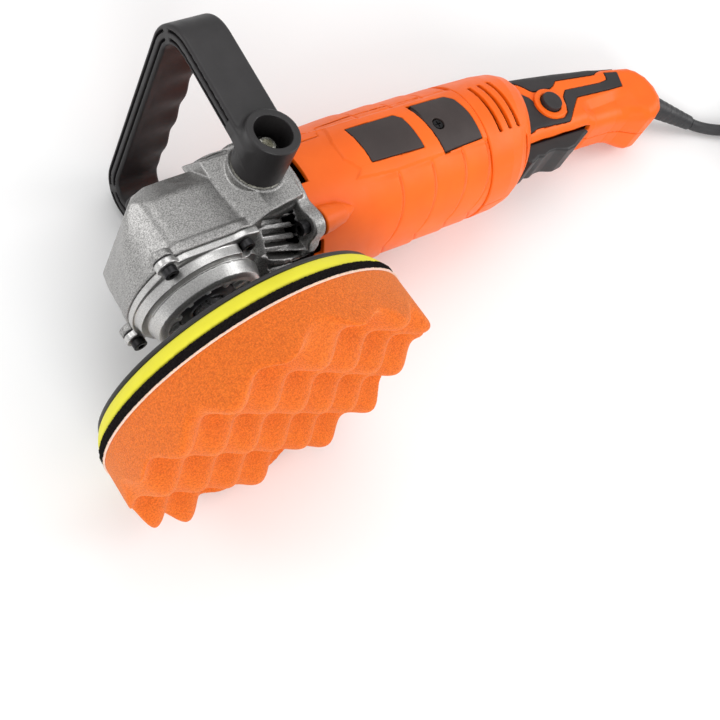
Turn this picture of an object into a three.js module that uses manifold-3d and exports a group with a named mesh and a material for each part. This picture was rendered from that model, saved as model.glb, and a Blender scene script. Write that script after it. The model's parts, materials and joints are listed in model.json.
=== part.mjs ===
// Rotary car polisher: 180 mm hook-and-loop pad, cast gear head, motor housing,
// clamshell rear grip and a bolt-on D-handle, lying on its side with its power cord coiled.
// Millimetres. Every piece is drawn in the tool's own frame and the whole tool is then laid down.
//
// Tool frame: the spindle turns about Z, with the pad's working face at z = 0 and the gear head
// above it. The motor lies along +X, the grip at its far end. +Y is the user's right-hand side.

import * as THREE from 'three';
import { ConvexGeometry } from 'three/addons/geometries/ConvexGeometry.js';
import { mergeVertices } from 'three/addons/utils/BufferGeometryUtils.js';
import Module from 'manifold-3d';

const wasm = await Module();
wasm.setup();

// ---------------------------------------------------------------- driving dimensions
const GAP = 0.3; // clearance kept between pieces that touch

// polishing pad and backing plate, as heights above the working face
const PAD_RADIUS = 90;
const FOAM_TOP = 33;
const LOOP_TOP = 37.1;
const CUSHION_TOP = 46.6;
const PLATE_RIM_TOP = 49.6;
const PLATE_HUB_TOP = 64;
const PLATE_RIM_RADIUS = 86.6;

// spindle and gear head
const THREAD_RADIUS = 7; // M14 spindle thread
const COLLAR_BOTTOM = 76.5;
const COLLAR_RADIUS = 29;
const COVER_BOTTOM = 86;
const HEAD_BOTTOM = 93;
const HEAD_TOP = 145.5;
const HEAD_NOSE = 44;
const HEAD_HALF_WIDTH = 39;
const FLANGE_BACK = 64;

// motor
const MOTOR_Z = 116; // height of the motor's axis above the pad's face
const MOTOR_RADIUS = 43.5;
const MOTOR_WALL = 2.6;
const MOTOR_FRONT = FLANGE_BACK + GAP;
const MOTOR_BACK = 201;
const ARMATURE_RADIUS = 22.4;

// bevel gears: pitch cones meet at the crossing of the spindle and motor axes
const CROWN_TEETH = 32;
const PINION_TEETH = 8;
const CONE_DISTANCE = 28;
const TOOTH_FACE = 8.5;

// rear grip
const GRIP_BACK = 389;
const GRIP_HALF_WIDTH = 21;
const SHELL_WALL = 2.6;
const TRIGGER_PIVOT = [246, 88.5];
const LOCK_ON = [282, 112];

// strain relief: where it is seated in the grip's end, and which way it points
const BOOT_START = [380, 1, 101.5];
const BOOT_DIRECTION = [0.8, 0.16, -0.578];

// D-handle
const HANDLE_X = 45;
const HANDLE_BOSS_Z = 124;
const HANDLE_BOSS_RADIUS = 15;
const HANDLE_BOSS_END = 75;
const HANDLE_BAND = 30; // width of the loop's band along the motor axis
const HANDLE_TOP = 212;
const HANDLE_HALF_WIDTH = 77;

// power cord
const CORD_RADIUS = 4;
const COIL_CENTRE = [492, 2];
const COIL_MEAN_RADIUS = 44;
const COIL_BUNDLE = 13.5; // half width of the bundle of turns

// how the tool lies: leaned over the pad's rim until the grip touches, then tipped on the D-handle
const LEAN = THREE.MathUtils.degToRad(10.13);
const TIP = THREE.MathUtils.degToRad(-1.2);

// ---------------------------------------------------------------- materials
const material = (name, color, roughness, metalness) =>
  new THREE.MeshStandardMaterial({ name, color, roughness, metalness });

const ORANGE = material('orange_plastic', 0xf26a24, 0.45, 0);
const BLACK = material('black_plastic', 0x2f2c2e, 0.5, 0);
const SOFT_GRIP = material('soft_grip', 0x3b3839, 0.8, 0);
const CAST = material('cast_aluminium', 0xa8a6a4, 0.45, 0.9);
const STEEL = material('steel', 0x9c9c9e, 0.3, 1);
const BLACK_STEEL = material('black_screw', 0x1e1d1e, 0.4, 0.8);
const ZINC = material('zinc_bolt', 0xb9b6a8, 0.3, 1);
const COPPER = material('copper', 0xb5652f, 0.4, 0.9);
const BRASS = material('brass', 0xc2a04a, 0.4, 0.9);
const CARBON = material('carbon', 0x202020, 0.7, 0.1);
const FOAM = material('orange_foam', 0xf08234, 0.95, 0);
const CUSHION = material('yellow_foam', 0xe4dc4c, 0.8, 0);
const LOOP = material('black_loop', 0x1b191a, 1, 0);
const RUBBER = material('rubber', 0x26262a, 0.6, 0);

// ---------------------------------------------------------------- solids
// Turns a closed three.js geometry into a solid, with its faces pointing out.
function solid(geometry) {
  const bare = geometry.clone();
  bare.deleteAttribute('normal');
  bare.deleteAttribute('uv');
  const merged = mergeVertices(bare, 1e-3);
  const position = merged.getAttribute('position');
  const corners = [];
  let volume = 0;
  const [a, b, c] = [new THREE.Vector3(), new THREE.Vector3(), new THREE.Vector3()];
  const index = merged.getIndex().array;
  for (let i = 0; i < index.length; i += 3) {
    const [p, q, r] = [index[i], index[i + 1], index[i + 2]];
    if (p === q || q === r || r === p) continue;
    corners.push(p, q, r);
    a.fromBufferAttribute(position, p);
    b.fromBufferAttribute(position, q);
    c.fromBufferAttribute(position, r);
    volume += a.dot(b.cross(c));
  }
  if (volume < 0) corners.reverse();
  return new wasm.Manifold(new wasm.Mesh({
    numProp: 3,
    vertProperties: new Float32Array(position.array),
    triVerts: new Uint32Array(corners),
  }));
}

function union(...solids) {
  return solids.reduce((whole, next) => whole.add(next));
}

function cut(body, ...tools) {
  return tools.reduce((whole, next) => whole.subtract(next), body);
}

function block([x0, x1], [y0, y1], [z0, z1]) {
  const geometry = new THREE.BoxGeometry(x1 - x0, y1 - y0, z1 - z0);
  geometry.translate((x0 + x1) / 2, (y0 + y1) / 2, (z0 + z1) / 2);
  return solid(geometry);
}

// Turns a geometry drawn about +Y so that its axis is X, Y or Z, then moves it.
function aim(geometry, axis, [x, y, z]) {
  if (axis === 'x') geometry.rotateZ(-Math.PI / 2);
  if (axis === 'z') geometry.rotateX(Math.PI / 2);
  geometry.translate(x, y, z);
  return geometry;
}

// A turned piece: a profile of [radius, distance along the axis] points.
// A profile that doesn't reach the axis is closed on itself, as a ring.
function turned(profile, axis = 'z', at = [0, 0, 0], sides = 28) {
  const points = profile.map(([r, h]) => new THREE.Vector2(r, h));
  if (points[0].x > 0) points.push(points[0].clone());
  return solid(aim(new THREE.LatheGeometry(points, sides), axis, at));
}

function rod(radius, [from, to], axis = 'z', at = [0, 0, 0], sides = 20) {
  return turned([[0, from], [radius, from], [radius, to], [0, to]], axis, at, sides);
}

function ring(inner, outer, [from, to], axis = 'z', at = [0, 0, 0], sides = 24) {
  return turned([[inner, from], [outer, from], [outer, to], [inner, to]], axis, at, sides);
}

function outline(points) {
  return new THREE.Shape(points.map(([u, v]) => new THREE.Vector2(u, v)));
}

// A plate drawn in plan (XY) and raised between two heights.
function plate(shape, [z0, z1], curveSegments = 8) {
  const geometry = new THREE.ExtrudeGeometry(shape, { depth: z1 - z0, bevelEnabled: false, curveSegments });
  geometry.translate(0, 0, z0);
  return solid(geometry);
}

// A slab drawn in side view (XZ) and spread between two values of y, its edges rounded by `round`.
function slab(shape, [y0, y1], round = 0, curveSegments = 4) {
  const geometry = new THREE.ExtrudeGeometry(shape, {
    depth: y1 - y0 - 2 * round,
    bevelEnabled: round > 0,
    bevelThickness: round,
    bevelSize: round,
    bevelOffset: -round,
    bevelSegments: 2,
    curveSegments,
  });
  geometry.rotateX(Math.PI / 2);
  geometry.translate(0, y1 - round, 0);
  return solid(geometry);
}

function hull(points) {
  return solid(new ConvexGeometry(points.map(([x, y, z]) => new THREE.Vector3(x, y, z))));
}

// Copies of a solid spread evenly round the X axis through the motor, or round the spindle.
function roundMotor(makeOne, count) {
  const copies = [];
  for (let i = 0; i < count; i += 1) {
    const one = makeOne();
    copies.push(one.translate([0, 0, -MOTOR_Z]).rotate([(360 * i) / count, 0, 0]).translate([0, 0, MOTOR_Z]));
  }
  return union(...copies);
}

// ---------------------------------------------------------------- the tool's group of named pieces
const tool = new THREE.Group();

function piece(name, body, look, group = tool) {
  const mesh = body.getMesh();
  const geometry = new THREE.BufferGeometry();
  geometry.setAttribute('position', new THREE.BufferAttribute(mesh.vertProperties, mesh.numProp));
  geometry.setIndex(new THREE.BufferAttribute(mesh.triVerts, 1));
  geometry.computeVertexNormals();
  const part = new THREE.Mesh(geometry, look);
  part.name = name;
  group.add(part);
}

// ---------------------------------------------------------------- pad and backing plate
function buildPad() {
  const foam = turned([
    [0, 0], [PAD_RADIUS - 3.5, 0], [PAD_RADIUS - 0.6, 3.5], [PAD_RADIUS, 10],
    [PAD_RADIUS - 1.1, FOAM_TOP], [0, FOAM_TOP],
  ], 'z', [0, 0, 0], 48);
  piece('foam_pad', foam, FOAM);
  piece('hook_loop_layer', rod(PAD_RADIUS - 1.4, [FOAM_TOP + GAP, LOOP_TOP], 'z', [0, 0, 0], 48), LOOP);
  const cushion = turned([
    [0, LOOP_TOP + GAP], [PAD_RADIUS - 1.6, LOOP_TOP + GAP],
    [PLATE_RIM_RADIUS, CUSHION_TOP], [0, CUSHION_TOP],
  ], 'z', [0, 0, 0], 48);
  piece('plate_cushion', cushion, CUSHION);

  const insertRadius = 12;
  const insertBottom = 51;
  const plateBody = turned([
    [0, CUSHION_TOP + GAP], [PLATE_RIM_RADIUS, CUSHION_TOP + GAP], [PLATE_RIM_RADIUS, PLATE_RIM_TOP - 0.8],
    [PLATE_RIM_RADIUS - 1, PLATE_RIM_TOP], [60, 51], [38, 54.5], [27, 58], [23, PLATE_HUB_TOP], [0, PLATE_HUB_TOP],
  ], 'z', [0, 0, 0], 40);
  const insertHole = rod(insertRadius + GAP, [insertBottom, PLATE_HUB_TOP + 1]);
  piece('backing_plate', cut(plateBody, insertHole), BLACK);
  const insert = turned([
    [THREAD_RADIUS + GAP, insertBottom + GAP], [insertRadius, insertBottom + GAP],
    [insertRadius, 66], [THREAD_RADIUS + GAP, 66],
  ], 'z', [0, 0, 0], 24);
  piece('plate_insert', insert, STEEL);
}

// ---------------------------------------------------------------- bevel gears
// A straight bevel gear about +Z, its pitch cone's apex at the origin and its teeth facing the apex.
// Thin teeth give the pair its backlash.
function bevelGear(teeth, coneAngle, bore, back, firstTooth) {
  const [sin, cos] = [Math.sin(coneAngle), Math.cos(coneAngle)];
  const module = (2 * CONE_DISTANCE * sin) / teeth;
  const pitch = (2 * Math.PI) / teeth;
  const at = (distance, lift) => [distance * sin + lift * cos, distance * cos - lift * sin];
  const addendum = 0.8 * module;
  const dedendum = 1.15 * module;
  const inner = CONE_DISTANCE - TOOTH_FACE;
  const taper = inner / CONE_DISTANCE;
  const [rootOuterR, rootOuterZ] = at(CONE_DISTANCE, -dedendum);
  const [rootInnerR, rootInnerZ] = at(inner, -dedendum * taper);
  const blank = turned([
    [bore, rootInnerZ], [rootInnerR, rootInnerZ], [rootOuterR, rootOuterZ], [rootOuterR, back], [bore, back],
  ], 'z', [0, 0, 0], Math.max(teeth, 16));
  const solids = [blank];
  for (let i = 0; i < teeth; i += 1) {
    const middle = (i + firstTooth) * pitch;
    const corners = [];
    for (const [distance, scale] of [[CONE_DISTANCE, 1], [inner, taper]]) {
      const rows = [[-dedendum - 0.35, 0.26], [addendum, 0.11]];
      for (const [lift, share] of rows) {
        const [r, z] = at(distance, lift * scale);
        for (const side of [-1, 1]) {
          const angle = middle + side * share * pitch;
          corners.push([r * Math.cos(angle), r * Math.sin(angle), z]);
        }
      }
    }
    solids.push(hull(corners));
  }
  return union(...solids);
}

function buildGears() {
  const ratio = CROWN_TEETH / PINION_TEETH;
  const crownAngle = Math.atan(ratio);
  const pinionAngle = Math.PI / 2 - crownAngle;
  const crown = bevelGear(CROWN_TEETH, crownAngle, 8 + GAP, 17.5, 0);
  piece('crown_gear', crown.rotate([180, 0, 0]).translate([0, 0, MOTOR_Z]), STEEL);
  const pinion = bevelGear(PINION_TEETH, pinionAngle, 3 + GAP, 30.5, 0.5);
  piece('drive_pinion', pinion.rotate([0, 90, 0]).translate([0, 0, MOTOR_Z]), STEEL);
}

// ---------------------------------------------------------------- spindle, bearings, cover
function buildSpindle() {
  const spindle = turned([
    [0, 53], [THREAD_RADIUS - 1, 53], [THREAD_RADIUS, 54], [THREAD_RADIUS, 66.3], [13, 66.3], [13, 71],
    [8.5, 72.5], [8.5, 93], [10.5, 93], [10.5, 98], [8, 98], [8, 112], [6, 112], [6, 130.8], [0, 130.8],
  ], 'z', [0, 0, 0], 24);
  piece('spindle', spindle, STEEL);
  piece('spindle_bearing_lower', ring(8.5 + GAP, 17.5, [83.8, 92.7]), STEEL);
  piece('spindle_bearing_upper', ring(6 + GAP, 11, [124.3, 131]), STEEL);
}

// The gear head in plan: a rounded nose in front of the spindle and straight flanks behind it.
function headPlan(nose, halfWidth, rear, steps = 16) {
  const squareness = 2 / 3.3;
  const points = [[rear, -halfWidth]];
  for (let i = 0; i <= steps; i += 1) {
    const t = -Math.PI / 2 + (Math.PI * i) / steps;
    const x = -nose * Math.abs(Math.cos(t)) ** squareness;
    const y = halfWidth * Math.sign(Math.sin(t)) * Math.abs(Math.sin(t)) ** squareness;
    points.push([x, y]);
  }
  points.push([rear, halfWidth]);
  return points;
}

const COVER_SCREWS = [[-31, -33], [-31, 33], [20, -33], [20, 33]];
const COVER_REAR = 29;

function screwHoles(radius, places, [from, to]) {
  return union(...places.map(([x, y]) => rod(radius, [from, to], 'z', [x, y, 0], 10)));
}

function buildSpindleCover() {
  const flange = plate(outline(headPlan(HEAD_NOSE, HEAD_HALF_WIDTH, COVER_REAR)), [COVER_BOTTOM, 91]);
  const collar = turned([
    [25.5, COLLAR_BOTTOM], [COLLAR_RADIUS - 0.8, COLLAR_BOTTOM], [COLLAR_RADIUS, COLLAR_BOTTOM + 1],
    [COLLAR_RADIUS + 1, 85.5], [COLLAR_RADIUS + 3, COVER_BOTTOM], [COLLAR_RADIUS + 3, 88], [25.5, 88],
  ]);
  const web = ring(14, 27, [81.8, 91]);
  const pocket = rod(17.8, [83.5, 95]);
  const recess = rod(25.5, [COLLAR_BOTTOM - 1, 81.8]);
  const bore = rod(14, [80, 95]);
  const cover = cut(union(flange, collar, web), recess, pocket, bore, screwHoles(2.4, COVER_SCREWS, [80, 95]));
  piece('spindle_cover', cover, CAST);
  const gasketShape = outline(headPlan(HEAD_NOSE - 0.4, HEAD_HALF_WIDTH - 0.4, COVER_REAR - 0.4));
  const gasket = cut(
    plate(gasketShape, [91 + GAP, HEAD_BOTTOM - GAP]),
    rod(31, [85, 95]),
    screwHoles(2.4, COVER_SCREWS, [80, 95]),
  );
  piece('gear_gasket', gasket, BLACK);
}

// A hex-socket cap screw whose head is under the cover, pointing up into the casting.
function capScrew(headRadius, headDepth, shankRadius, length) {
  const body = turned([
    [0, 0], [headRadius, 0], [headRadius, headDepth],
    [shankRadius, headDepth], [shankRadius, headDepth + length], [0, headDepth + length],
  ], 'z', [0, 0, 0], 10);
  const socket = rod(headRadius * 0.52, [-1, headDepth * 0.6], 'z', [0, 0, 0], 6);
  return cut(body, socket);
}

function buildCoverScrews() {
  COVER_SCREWS.forEach(([x, y], i) => {
    const screw = capScrew(4, 4.4, 2.1, 14).translate([x, y, COVER_BOTTOM - GAP - 4.4]);
    piece(`cover_screw_${i + 1}`, screw, BLACK_STEEL);
  });
}

// ---------------------------------------------------------------- gear housing
const FLANGE_SCREWS = [[-36, 86], [36, 86], [-36, 146], [36, 146]];

function buildGearHousing() {
  const sections = [[HEAD_BOTTOM, HEAD_NOSE, HEAD_HALF_WIDTH], [112, 40, 37.5], [128, 33, 33], [139, 24, 25],
    [HEAD_TOP, 12, 13]];
  const noseCorners = sections.flatMap(([z, nose, half]) => headPlan(nose, half, 34, 10).map(([x, y]) => [x, y, z]));
  const nose = hull(noseCorners);
  const barrel = turned([
    [0, 26], [30, 26], [40, 31], [MOTOR_RADIUS, 36], [MOTOR_RADIUS, FLANGE_BACK], [0, FLANGE_BACK],
  ], 'x', [0, 0, MOTOR_Z]);
  const underside = block([COVER_REAR - 10, 56], [-50, 50], [60, HEAD_BOTTOM]);
  const upperBarrel = cut(barrel, underside);
  const neck = block([COLLAR_RADIUS + 4, 58], [-26, 26], [84, 100]);
  const flange = turned([[0, 56], [45.4, 56], [45.4, FLANGE_BACK], [0, FLANGE_BACK]], 'x', [0, 0, MOTOR_Z]);
  const ears = FLANGE_SCREWS.map(([y, z]) => rod(9, [56, FLANGE_BACK], 'x', [0, y, z], 12));
  const shoulderHeights = [98, 138];
  const shoulders = [-1, 1].map((side) => hull(shoulderHeights.flatMap((z) => [
    [25, side * 30, z], [25, side * 36, z], [38, side * 45.5, z], [61, side * 45.5, z], [61, side * 30, z],
  ])));
  const body = union(nose, upperBarrel, neck, flange, ...ears, ...shoulders);

  const gearChamber = rod(31, [HEAD_BOTTOM - 1, 122]);
  const bearingPocket = rod(11 + GAP, [120, 131.3], 'z', [0, 0, 0], 32);
  const lockHole = rod(5 + GAP, [130, 150], 'z', [0, 0, 0], 20);
  const shaftPassage = rod(9.5, [0, FLANGE_BACK + 1], 'x', [0, 0, MOTOR_Z]);
  const motorBearing = rod(13 + GAP, [40.7, FLANGE_BACK + 1], 'x', [0, 0, MOTOR_Z]);
  const fanChamber = rod(39, [52, FLANGE_BACK + 1], 'x', [0, 0, MOTOR_Z], 32);
  const louvres = [];
  for (const side of [-1, 1]) {
    for (const lean of [28, 44, 60]) {
      const slot = block([24, 50], [-1.3, 1.3], [28, 42]).rotate([side * lean, 0, 0]);
      louvres.push(slot.translate([0, 0, MOTOR_Z]));
    }
  }
  const coverScrewHoles = screwHoles(2.4, COVER_SCREWS, [80, 102]);
  const flangeHoles = FLANGE_SCREWS.map(([y, z]) => rod(2.4, [50, 70], 'x', [0, y, z], 10));
  const headRecess = FLANGE_SCREWS.map(([y, z]) => rod(6.5, [30, 56], 'x', [0, y, z], 12));
  const handleHoles = [-1, 1].map((side) =>
    rod(4.3, side > 0 ? [36, 50] : [-50, -36], 'y', [HANDLE_X, 0, HANDLE_BOSS_Z], 16));
  const housing = cut(
    body, gearChamber, bearingPocket, lockHole, shaftPassage, motorBearing, fanChamber,
    coverScrewHoles, ...louvres, ...flangeHoles, ...headRecess, ...handleHoles,
  );
  piece('gear_housing', housing, CAST);

  FLANGE_SCREWS.forEach(([y, z], i) => {
    const screw = capScrew(4.2, 4.5, 2.1, 20).rotate([0, 90, 0]).translate([56 - GAP - 4.5, y, z]);
    piece(`flange_screw_${i + 1}`, screw, BLACK_STEEL);
  });

  const lockButton = turned([
    [0, 134.5], [5, 134.5], [5, 149], [7, 149.2], [7.5, 150.5], [7, 153], [0, 153.5],
  ], 'z', [0, 0, 0], 24);
  piece('spindle_lock_button', lockButton, BLACK);
}

// ---------------------------------------------------------------- motor
const BRUSH_X = [167, 195];
const BRUSH_Z = [97, 132];
const NAME_PLATE_X = [110, 155];
const NAME_PLATE_Z = [106, 131];

function buildMotorHousing() {
  const inner = MOTOR_RADIUS - MOTOR_WALL;
  const tube = turned([
    [0, MOTOR_FRONT], [MOTOR_RADIUS, MOTOR_FRONT], [MOTOR_RADIUS, MOTOR_BACK], [0, MOTOR_BACK],
  ], 'x', [0, 0, MOTOR_Z], 44);
  const ears = FLANGE_SCREWS.map(([y, z]) => union(
    rod(9, [MOTOR_FRONT, 72], 'x', [0, y, z], 12),
    turned([[0, 72], [9, 72], [4, 88], [0, 88]], 'x', [0, y, z], 12),
  ));
  const flats = [];
  for (const side of [-1, 1]) {
    for (const [[x0, x1], [z0, z1]] of [[NAME_PLATE_X, NAME_PLATE_Z], [BRUSH_X, BRUSH_Z]]) {
      const [y0, y1] = side < 0 ? [-MOTOR_RADIUS - 0.1, -38] : [38, MOTOR_RADIUS + 0.1];
      flats.push(block([x0 - 2.5, x1 + 2.5], [y0, y1], [z0 - 2.5, z1 + 2.5]));
    }
  }
  const front = rod(inner, [MOTOR_FRONT - 1, 188], 'x', [0, 0, MOTOR_Z], 32);
  const back = ring(15, inner, [191, MOTOR_BACK + 1], 'x', [0, 0, MOTOR_Z], 32);
  const bearingPocket = rod(11 + GAP, [191, MOTOR_BACK + 1], 'x', [0, 0, MOTOR_Z], 32);
  const shaftHole = rod(8, [186, 194], 'x', [0, 0, MOTOR_Z], 24);
  const airHoles = roundMotor(() => rod(6, [186, 194], 'x', [0, 0, MOTOR_Z + 28], 8), 6);
  const screwHolesFront = FLANGE_SCREWS.map(([y, z]) => rod(2.4, [MOTOR_FRONT - 1, 80], 'x', [0, y, z], 10));
  const brushWindows = [-1, 1].map((side) =>
    block([BRUSH_X[0] - GAP, BRUSH_X[1] + GAP], side < 0 ? [-50, -30] : [30, 50],
      [BRUSH_Z[0] - GAP, BRUSH_Z[1] + GAP]));
  const housing = cut(
    union(tube, ...ears, ...flats), front, back, bearingPocket, shaftHole, airHoles,
    ...screwHolesFront, ...brushWindows,
  );
  piece('motor_housing', housing, ORANGE);
  const [px, pz] = [NAME_PLATE_X, NAME_PLATE_Z];
  const namePlate = block(px, [-MOTOR_RADIUS - 1.6, -MOTOR_RADIUS - 0.4], pz);
  piece('name_plate', namePlate, BLACK);
}

function buildField() {
  const rim = ring(ARMATURE_RADIUS + 0.8, 40.5, [84, 146], 'x', [0, 0, MOTOR_Z], 32);
  const pockets = block([80, 150], [-34, 34], [MOTOR_Z - 14, MOTOR_Z + 14]);
  piece('field_core', cut(rim, pockets), STEEL);

  const half = (side) => {
    const [low, high] = side > 0 ? [MOTOR_Z + 1, MOTOR_Z + 13] : [MOTOR_Z - 13, MOTOR_Z - 1];
    const bars = [-1, 1].map((y) => block([76, 154], y < 0 ? [-33, -25] : [25, 33], [low, high]));
    const keep = block([70, 160], [-50, 50], side > 0 ? [low, MOTOR_Z + 50] : [MOTOR_Z - 50, high]);
    const turns = [[76, 83.5], [146.5, 154]].map((span) =>
      ring(25, 36, span, 'x', [0, 0, MOTOR_Z], 20).intersect(keep));
    return union(...bars, ...turns);
  };
  const link = block([150, 154], [29, 33], [MOTOR_Z - 2, MOTOR_Z + 2]);
  piece('field_winding', union(half(1), half(-1), link), COPPER);
}

function buildArmature() {
  const axis = [0, 0, MOTOR_Z];
  const shaft = turned([
    [0, 16.5], [3, 16.5], [3, 31], [5, 31], [5, 52], [6, 52], [6, 190], [4, 190], [4, 201], [0, 201],
  ], 'x', axis, 24);
  piece('armature_shaft', shaft, STEEL);

  const slotCount = 8;
  const core = ring(6 + GAP, ARMATURE_RADIUS, [84, 146], 'x', axis, 24);
  const slots = roundMotor(() => block([80, 150], [-1.6, 1.6], [MOTOR_Z + 13, MOTOR_Z + 24]), slotCount);
  piece('armature_core', cut(core, slots), STEEL);

  const bars = roundMotor(() => block([82, 148], [-1.2, 1.2], [MOTOR_Z + 13.4, MOTOR_Z + 21.5]), slotCount);
  const frontTurns = turned([[7, 77], [19, 77], [21.5, 79], [21.5, 83.6], [7, 83.6]], 'x', axis, 20);
  const backTurns = turned([[7, 146.4], [21.5, 146.4], [20.5, 154], [15, 160], [7, 160]], 'x', axis, 20);
  piece('armature_winding', union(bars, frontTurns, backTurns), COPPER);

  piece('commutator', turned([
    [6 + GAP, 163], [14.5, 163], [14.5, 166], [13, 166], [13, 186], [6 + GAP, 186],
  ], 'x', axis, 20), COPPER);

  const disc = ring(6 + GAP, 36, [66, 68], 'x', axis, 24);
  const hub = ring(6 + GAP, 13, [56, 70], 'x', axis, 16);
  const blades = roundMotor(() => block([57, 67], [-1, 1], [MOTOR_Z + 11, MOTOR_Z + 35]), 9);
  piece('cooling_fan', union(disc, hub, blades), BLACK);

  piece('motor_bearing_front', ring(5 + GAP, 13, [41, 49], 'x', axis, 20), STEEL);
  piece('motor_bearing_rear', ring(4 + GAP, 11, [193.5, 200.5], 'x', axis, 20), STEEL);
}

function buildBrushes() {
  const x = (BRUSH_X[0] + BRUSH_X[1]) / 2 - 5;
  const z = (BRUSH_Z[0] + BRUSH_Z[1]) / 2;
  const mirror = (side, [near, far]) => (side < 0 ? [-far, -near] : [near, far]);
  for (const [name, side] of [['left', -1], ['right', 1]]) {
    const brush = block([x - 3, x + 3], mirror(side, [13.5, 31]), [MOTOR_Z - 5, MOTOR_Z + 5]);
    piece(`carbon_brush_${name}`, brush, CARBON);
    const sleeve = cut(
      block([x - 6, x + 6], mirror(side, [17, 37.5]), [MOTOR_Z - 8, MOTOR_Z + 8]),
      block([x - 3.3, x + 3.3], mirror(side, [16, 39]), [MOTOR_Z - 5.3, MOTOR_Z + 5.3]),
    );
    piece(`brush_holder_${name}`, sleeve, BRASS);
    const lid = block(BRUSH_X, mirror(side, [37.8, MOTOR_RADIUS + 0.1]), BRUSH_Z);
    const well = rod(3.6, mirror(side, [40.6, 50]), 'y', [x - 5, 0, z - 1], 16);
    const hole = rod(1.8, mirror(side, [30, 50]), 'y', [x - 5, 0, z - 1], 12);
    piece(`brush_cover_${name}`, cut(lid, well, hole), BLACK);
    const screw = turned([[0, 0], [3.1, 0], [3.1, 1.6], [1.5, 2], [1.5, 4.8], [0, 4.8]], 'y', [0, 0, 0], 16);
    const slotA = block([-2, 2], [-1, 0.9], [-0.4, 0.4]);
    const slotB = block([-0.4, 0.4], [-1, 0.9], [-2, 2]);
    const turnedScrew = cut(screw, slotA, slotB).rotate([0, 0, side > 0 ? 180 : 0]);
    piece(`brush_cover_screw_${name}`, turnedScrew.translate([x - 5, side * 42.9, z - 1]), BLACK_STEEL);
  }
}

// ---------------------------------------------------------------- rear shells
// Carries a piece drawn up Z to the strain relief's seat.
const bootPlace = new THREE.Matrix4().compose(
  new THREE.Vector3(...BOOT_START),
  new THREE.Quaternion().setFromUnitVectors(
    new THREE.Vector3(0, 0, 1), new THREE.Vector3(...BOOT_DIRECTION).normalize()),
  new THREE.Vector3(1, 1, 1),
).toArray();

// The bell behind the motor: slanted rings that shrink towards the grip.
function bell(inset) {
  const rings = [[MOTOR_BACK + GAP, 0, MOTOR_RADIUS], [238, 0.24, 42.2], [250, 0.3, 38.5], [258, 0.36, 30]];
  const sides = 28;
  const points = [];
  rings.forEach(([x, slope, radius], i) => {
    const back = i === 0 ? 0 : inset * 0.8;
    for (let j = 0; j < sides; j += 1) {
      const angle = (2 * Math.PI * j) / sides;
      const z = (radius - inset) * Math.cos(angle);
      points.push([x - back + slope * z, (radius - inset) * Math.sin(angle), MOTOR_Z + z]);
    }
  });
  return hull(points);
}

// The grip in side view, drawn inwards by `inset`.
function gripShape(inset) {
  const i = inset;
  const shape = new THREE.Shape();
  shape.moveTo(225, 146 - i);
  shape.lineTo(278, 144.5 - i);
  shape.lineTo(330, 136.5 - i);
  shape.lineTo(366, 129.5 - i);
  shape.quadraticCurveTo(386 - i, 126 - i, GRIP_BACK - i, 110);
  shape.quadraticCurveTo(GRIP_BACK - 1 - i, 90, 374 - i, 78 + i);
  shape.quadraticCurveTo(362, 69.5 + i, 348 + i, 74 + i);
  shape.quadraticCurveTo(342 + i, 85 + i, 330, 86.5 + i);
  shape.lineTo(308, 88 + i);
  shape.lineTo(250, 92 + i);
  shape.lineTo(225, 92 + i);
  shape.closePath();
  return shape;
}

function buildRearShells() {
  const grip = slab(gripShape(0), [-GRIP_HALF_WIDTH, GRIP_HALF_WIDTH], 7);
  const outer = union(bell(0), grip);
  const hollowGrip = slab(gripShape(SHELL_WALL), [-GRIP_HALF_WIDTH + SHELL_WALL, GRIP_HALF_WIDTH - SHELL_WALL], 5);
  const open = rod(MOTOR_RADIUS - MOTOR_WALL, [MOTOR_BACK - 1, 206], 'x', [0, 0, MOTOR_Z], 40);
  const triggerSlot = block([222, 309], [-13, 13], [60, 96]);
  const lockOnHole = rod(7 + GAP, [-30, -10], 'y', [LOCK_ON[0], 0, LOCK_ON[1]], 24);
  const cordHole = union(rod(5.5, [-17, 6]), rod(7.4 + GAP, [5, 30])).transform(bootPlace);
  const vents = [];
  for (const side of [-1, 1]) {
    for (const x of [211, 219, 227]) {
      vents.push(block([x, x + 2.6], side < 0 ? [-50, -20] : [20, 50], [97, 134]));
    }
  }
  const body = cut(outer, bell(SHELL_WALL), hollowGrip, open, triggerSlot, lockOnHole, cordHole, ...vents);
  const screwPost = rod(4.5, [-18.8, 18.8], 'y', [340, 0, 104], 20);
  const screwHole = rod(1.9, [-15, 40], 'y', [340, 0, 104], 16);
  const screwWell = rod(3.6, [16.5, 40], 'y', [340, 0, 104], 16);
  const joined = cut(union(body, screwPost), screwHole, screwWell);
  const seam = GAP / 2;
  piece('rear_shell_left', joined.intersect(block([190, 400], [-60, -seam], [40, 180])), ORANGE);
  piece('rear_shell_right', joined.intersect(block([190, 400], [seam, 60], [40, 180])), ORANGE);
  const screw = capScrew(3.3, 3, 1.6, 28).rotate([90, 0, 0]).translate([340, 16.5 + 3.2, 104]);
  piece('shell_screw', screw, BLACK_STEEL);
}

// The dark soft-grip inlays on both flanks of the grip.
function buildInlays() {
  const upper = [[262, 136], [276, 137], [290, 121], [297, 104], [303, 118], [347, 111], [349, 124], [356, 123],
    [356, 103], [308, 108], [299, 97], [262, 97.5]];
  const bandShape = outline(upper);
  const lockOnClearance = rod(12, [-30, 30], 'y', [LOCK_ON[0], 0, LOCK_ON[1]], 20);
  for (const [name, y] of [['left', [-22.6, -21.3]], ['right', [21.3, 22.6]]]) {
    piece(`grip_inlay_${name}`, cut(slab(bandShape, y), lockOnClearance, bell(-GAP)), SOFT_GRIP);
  }
}

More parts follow.
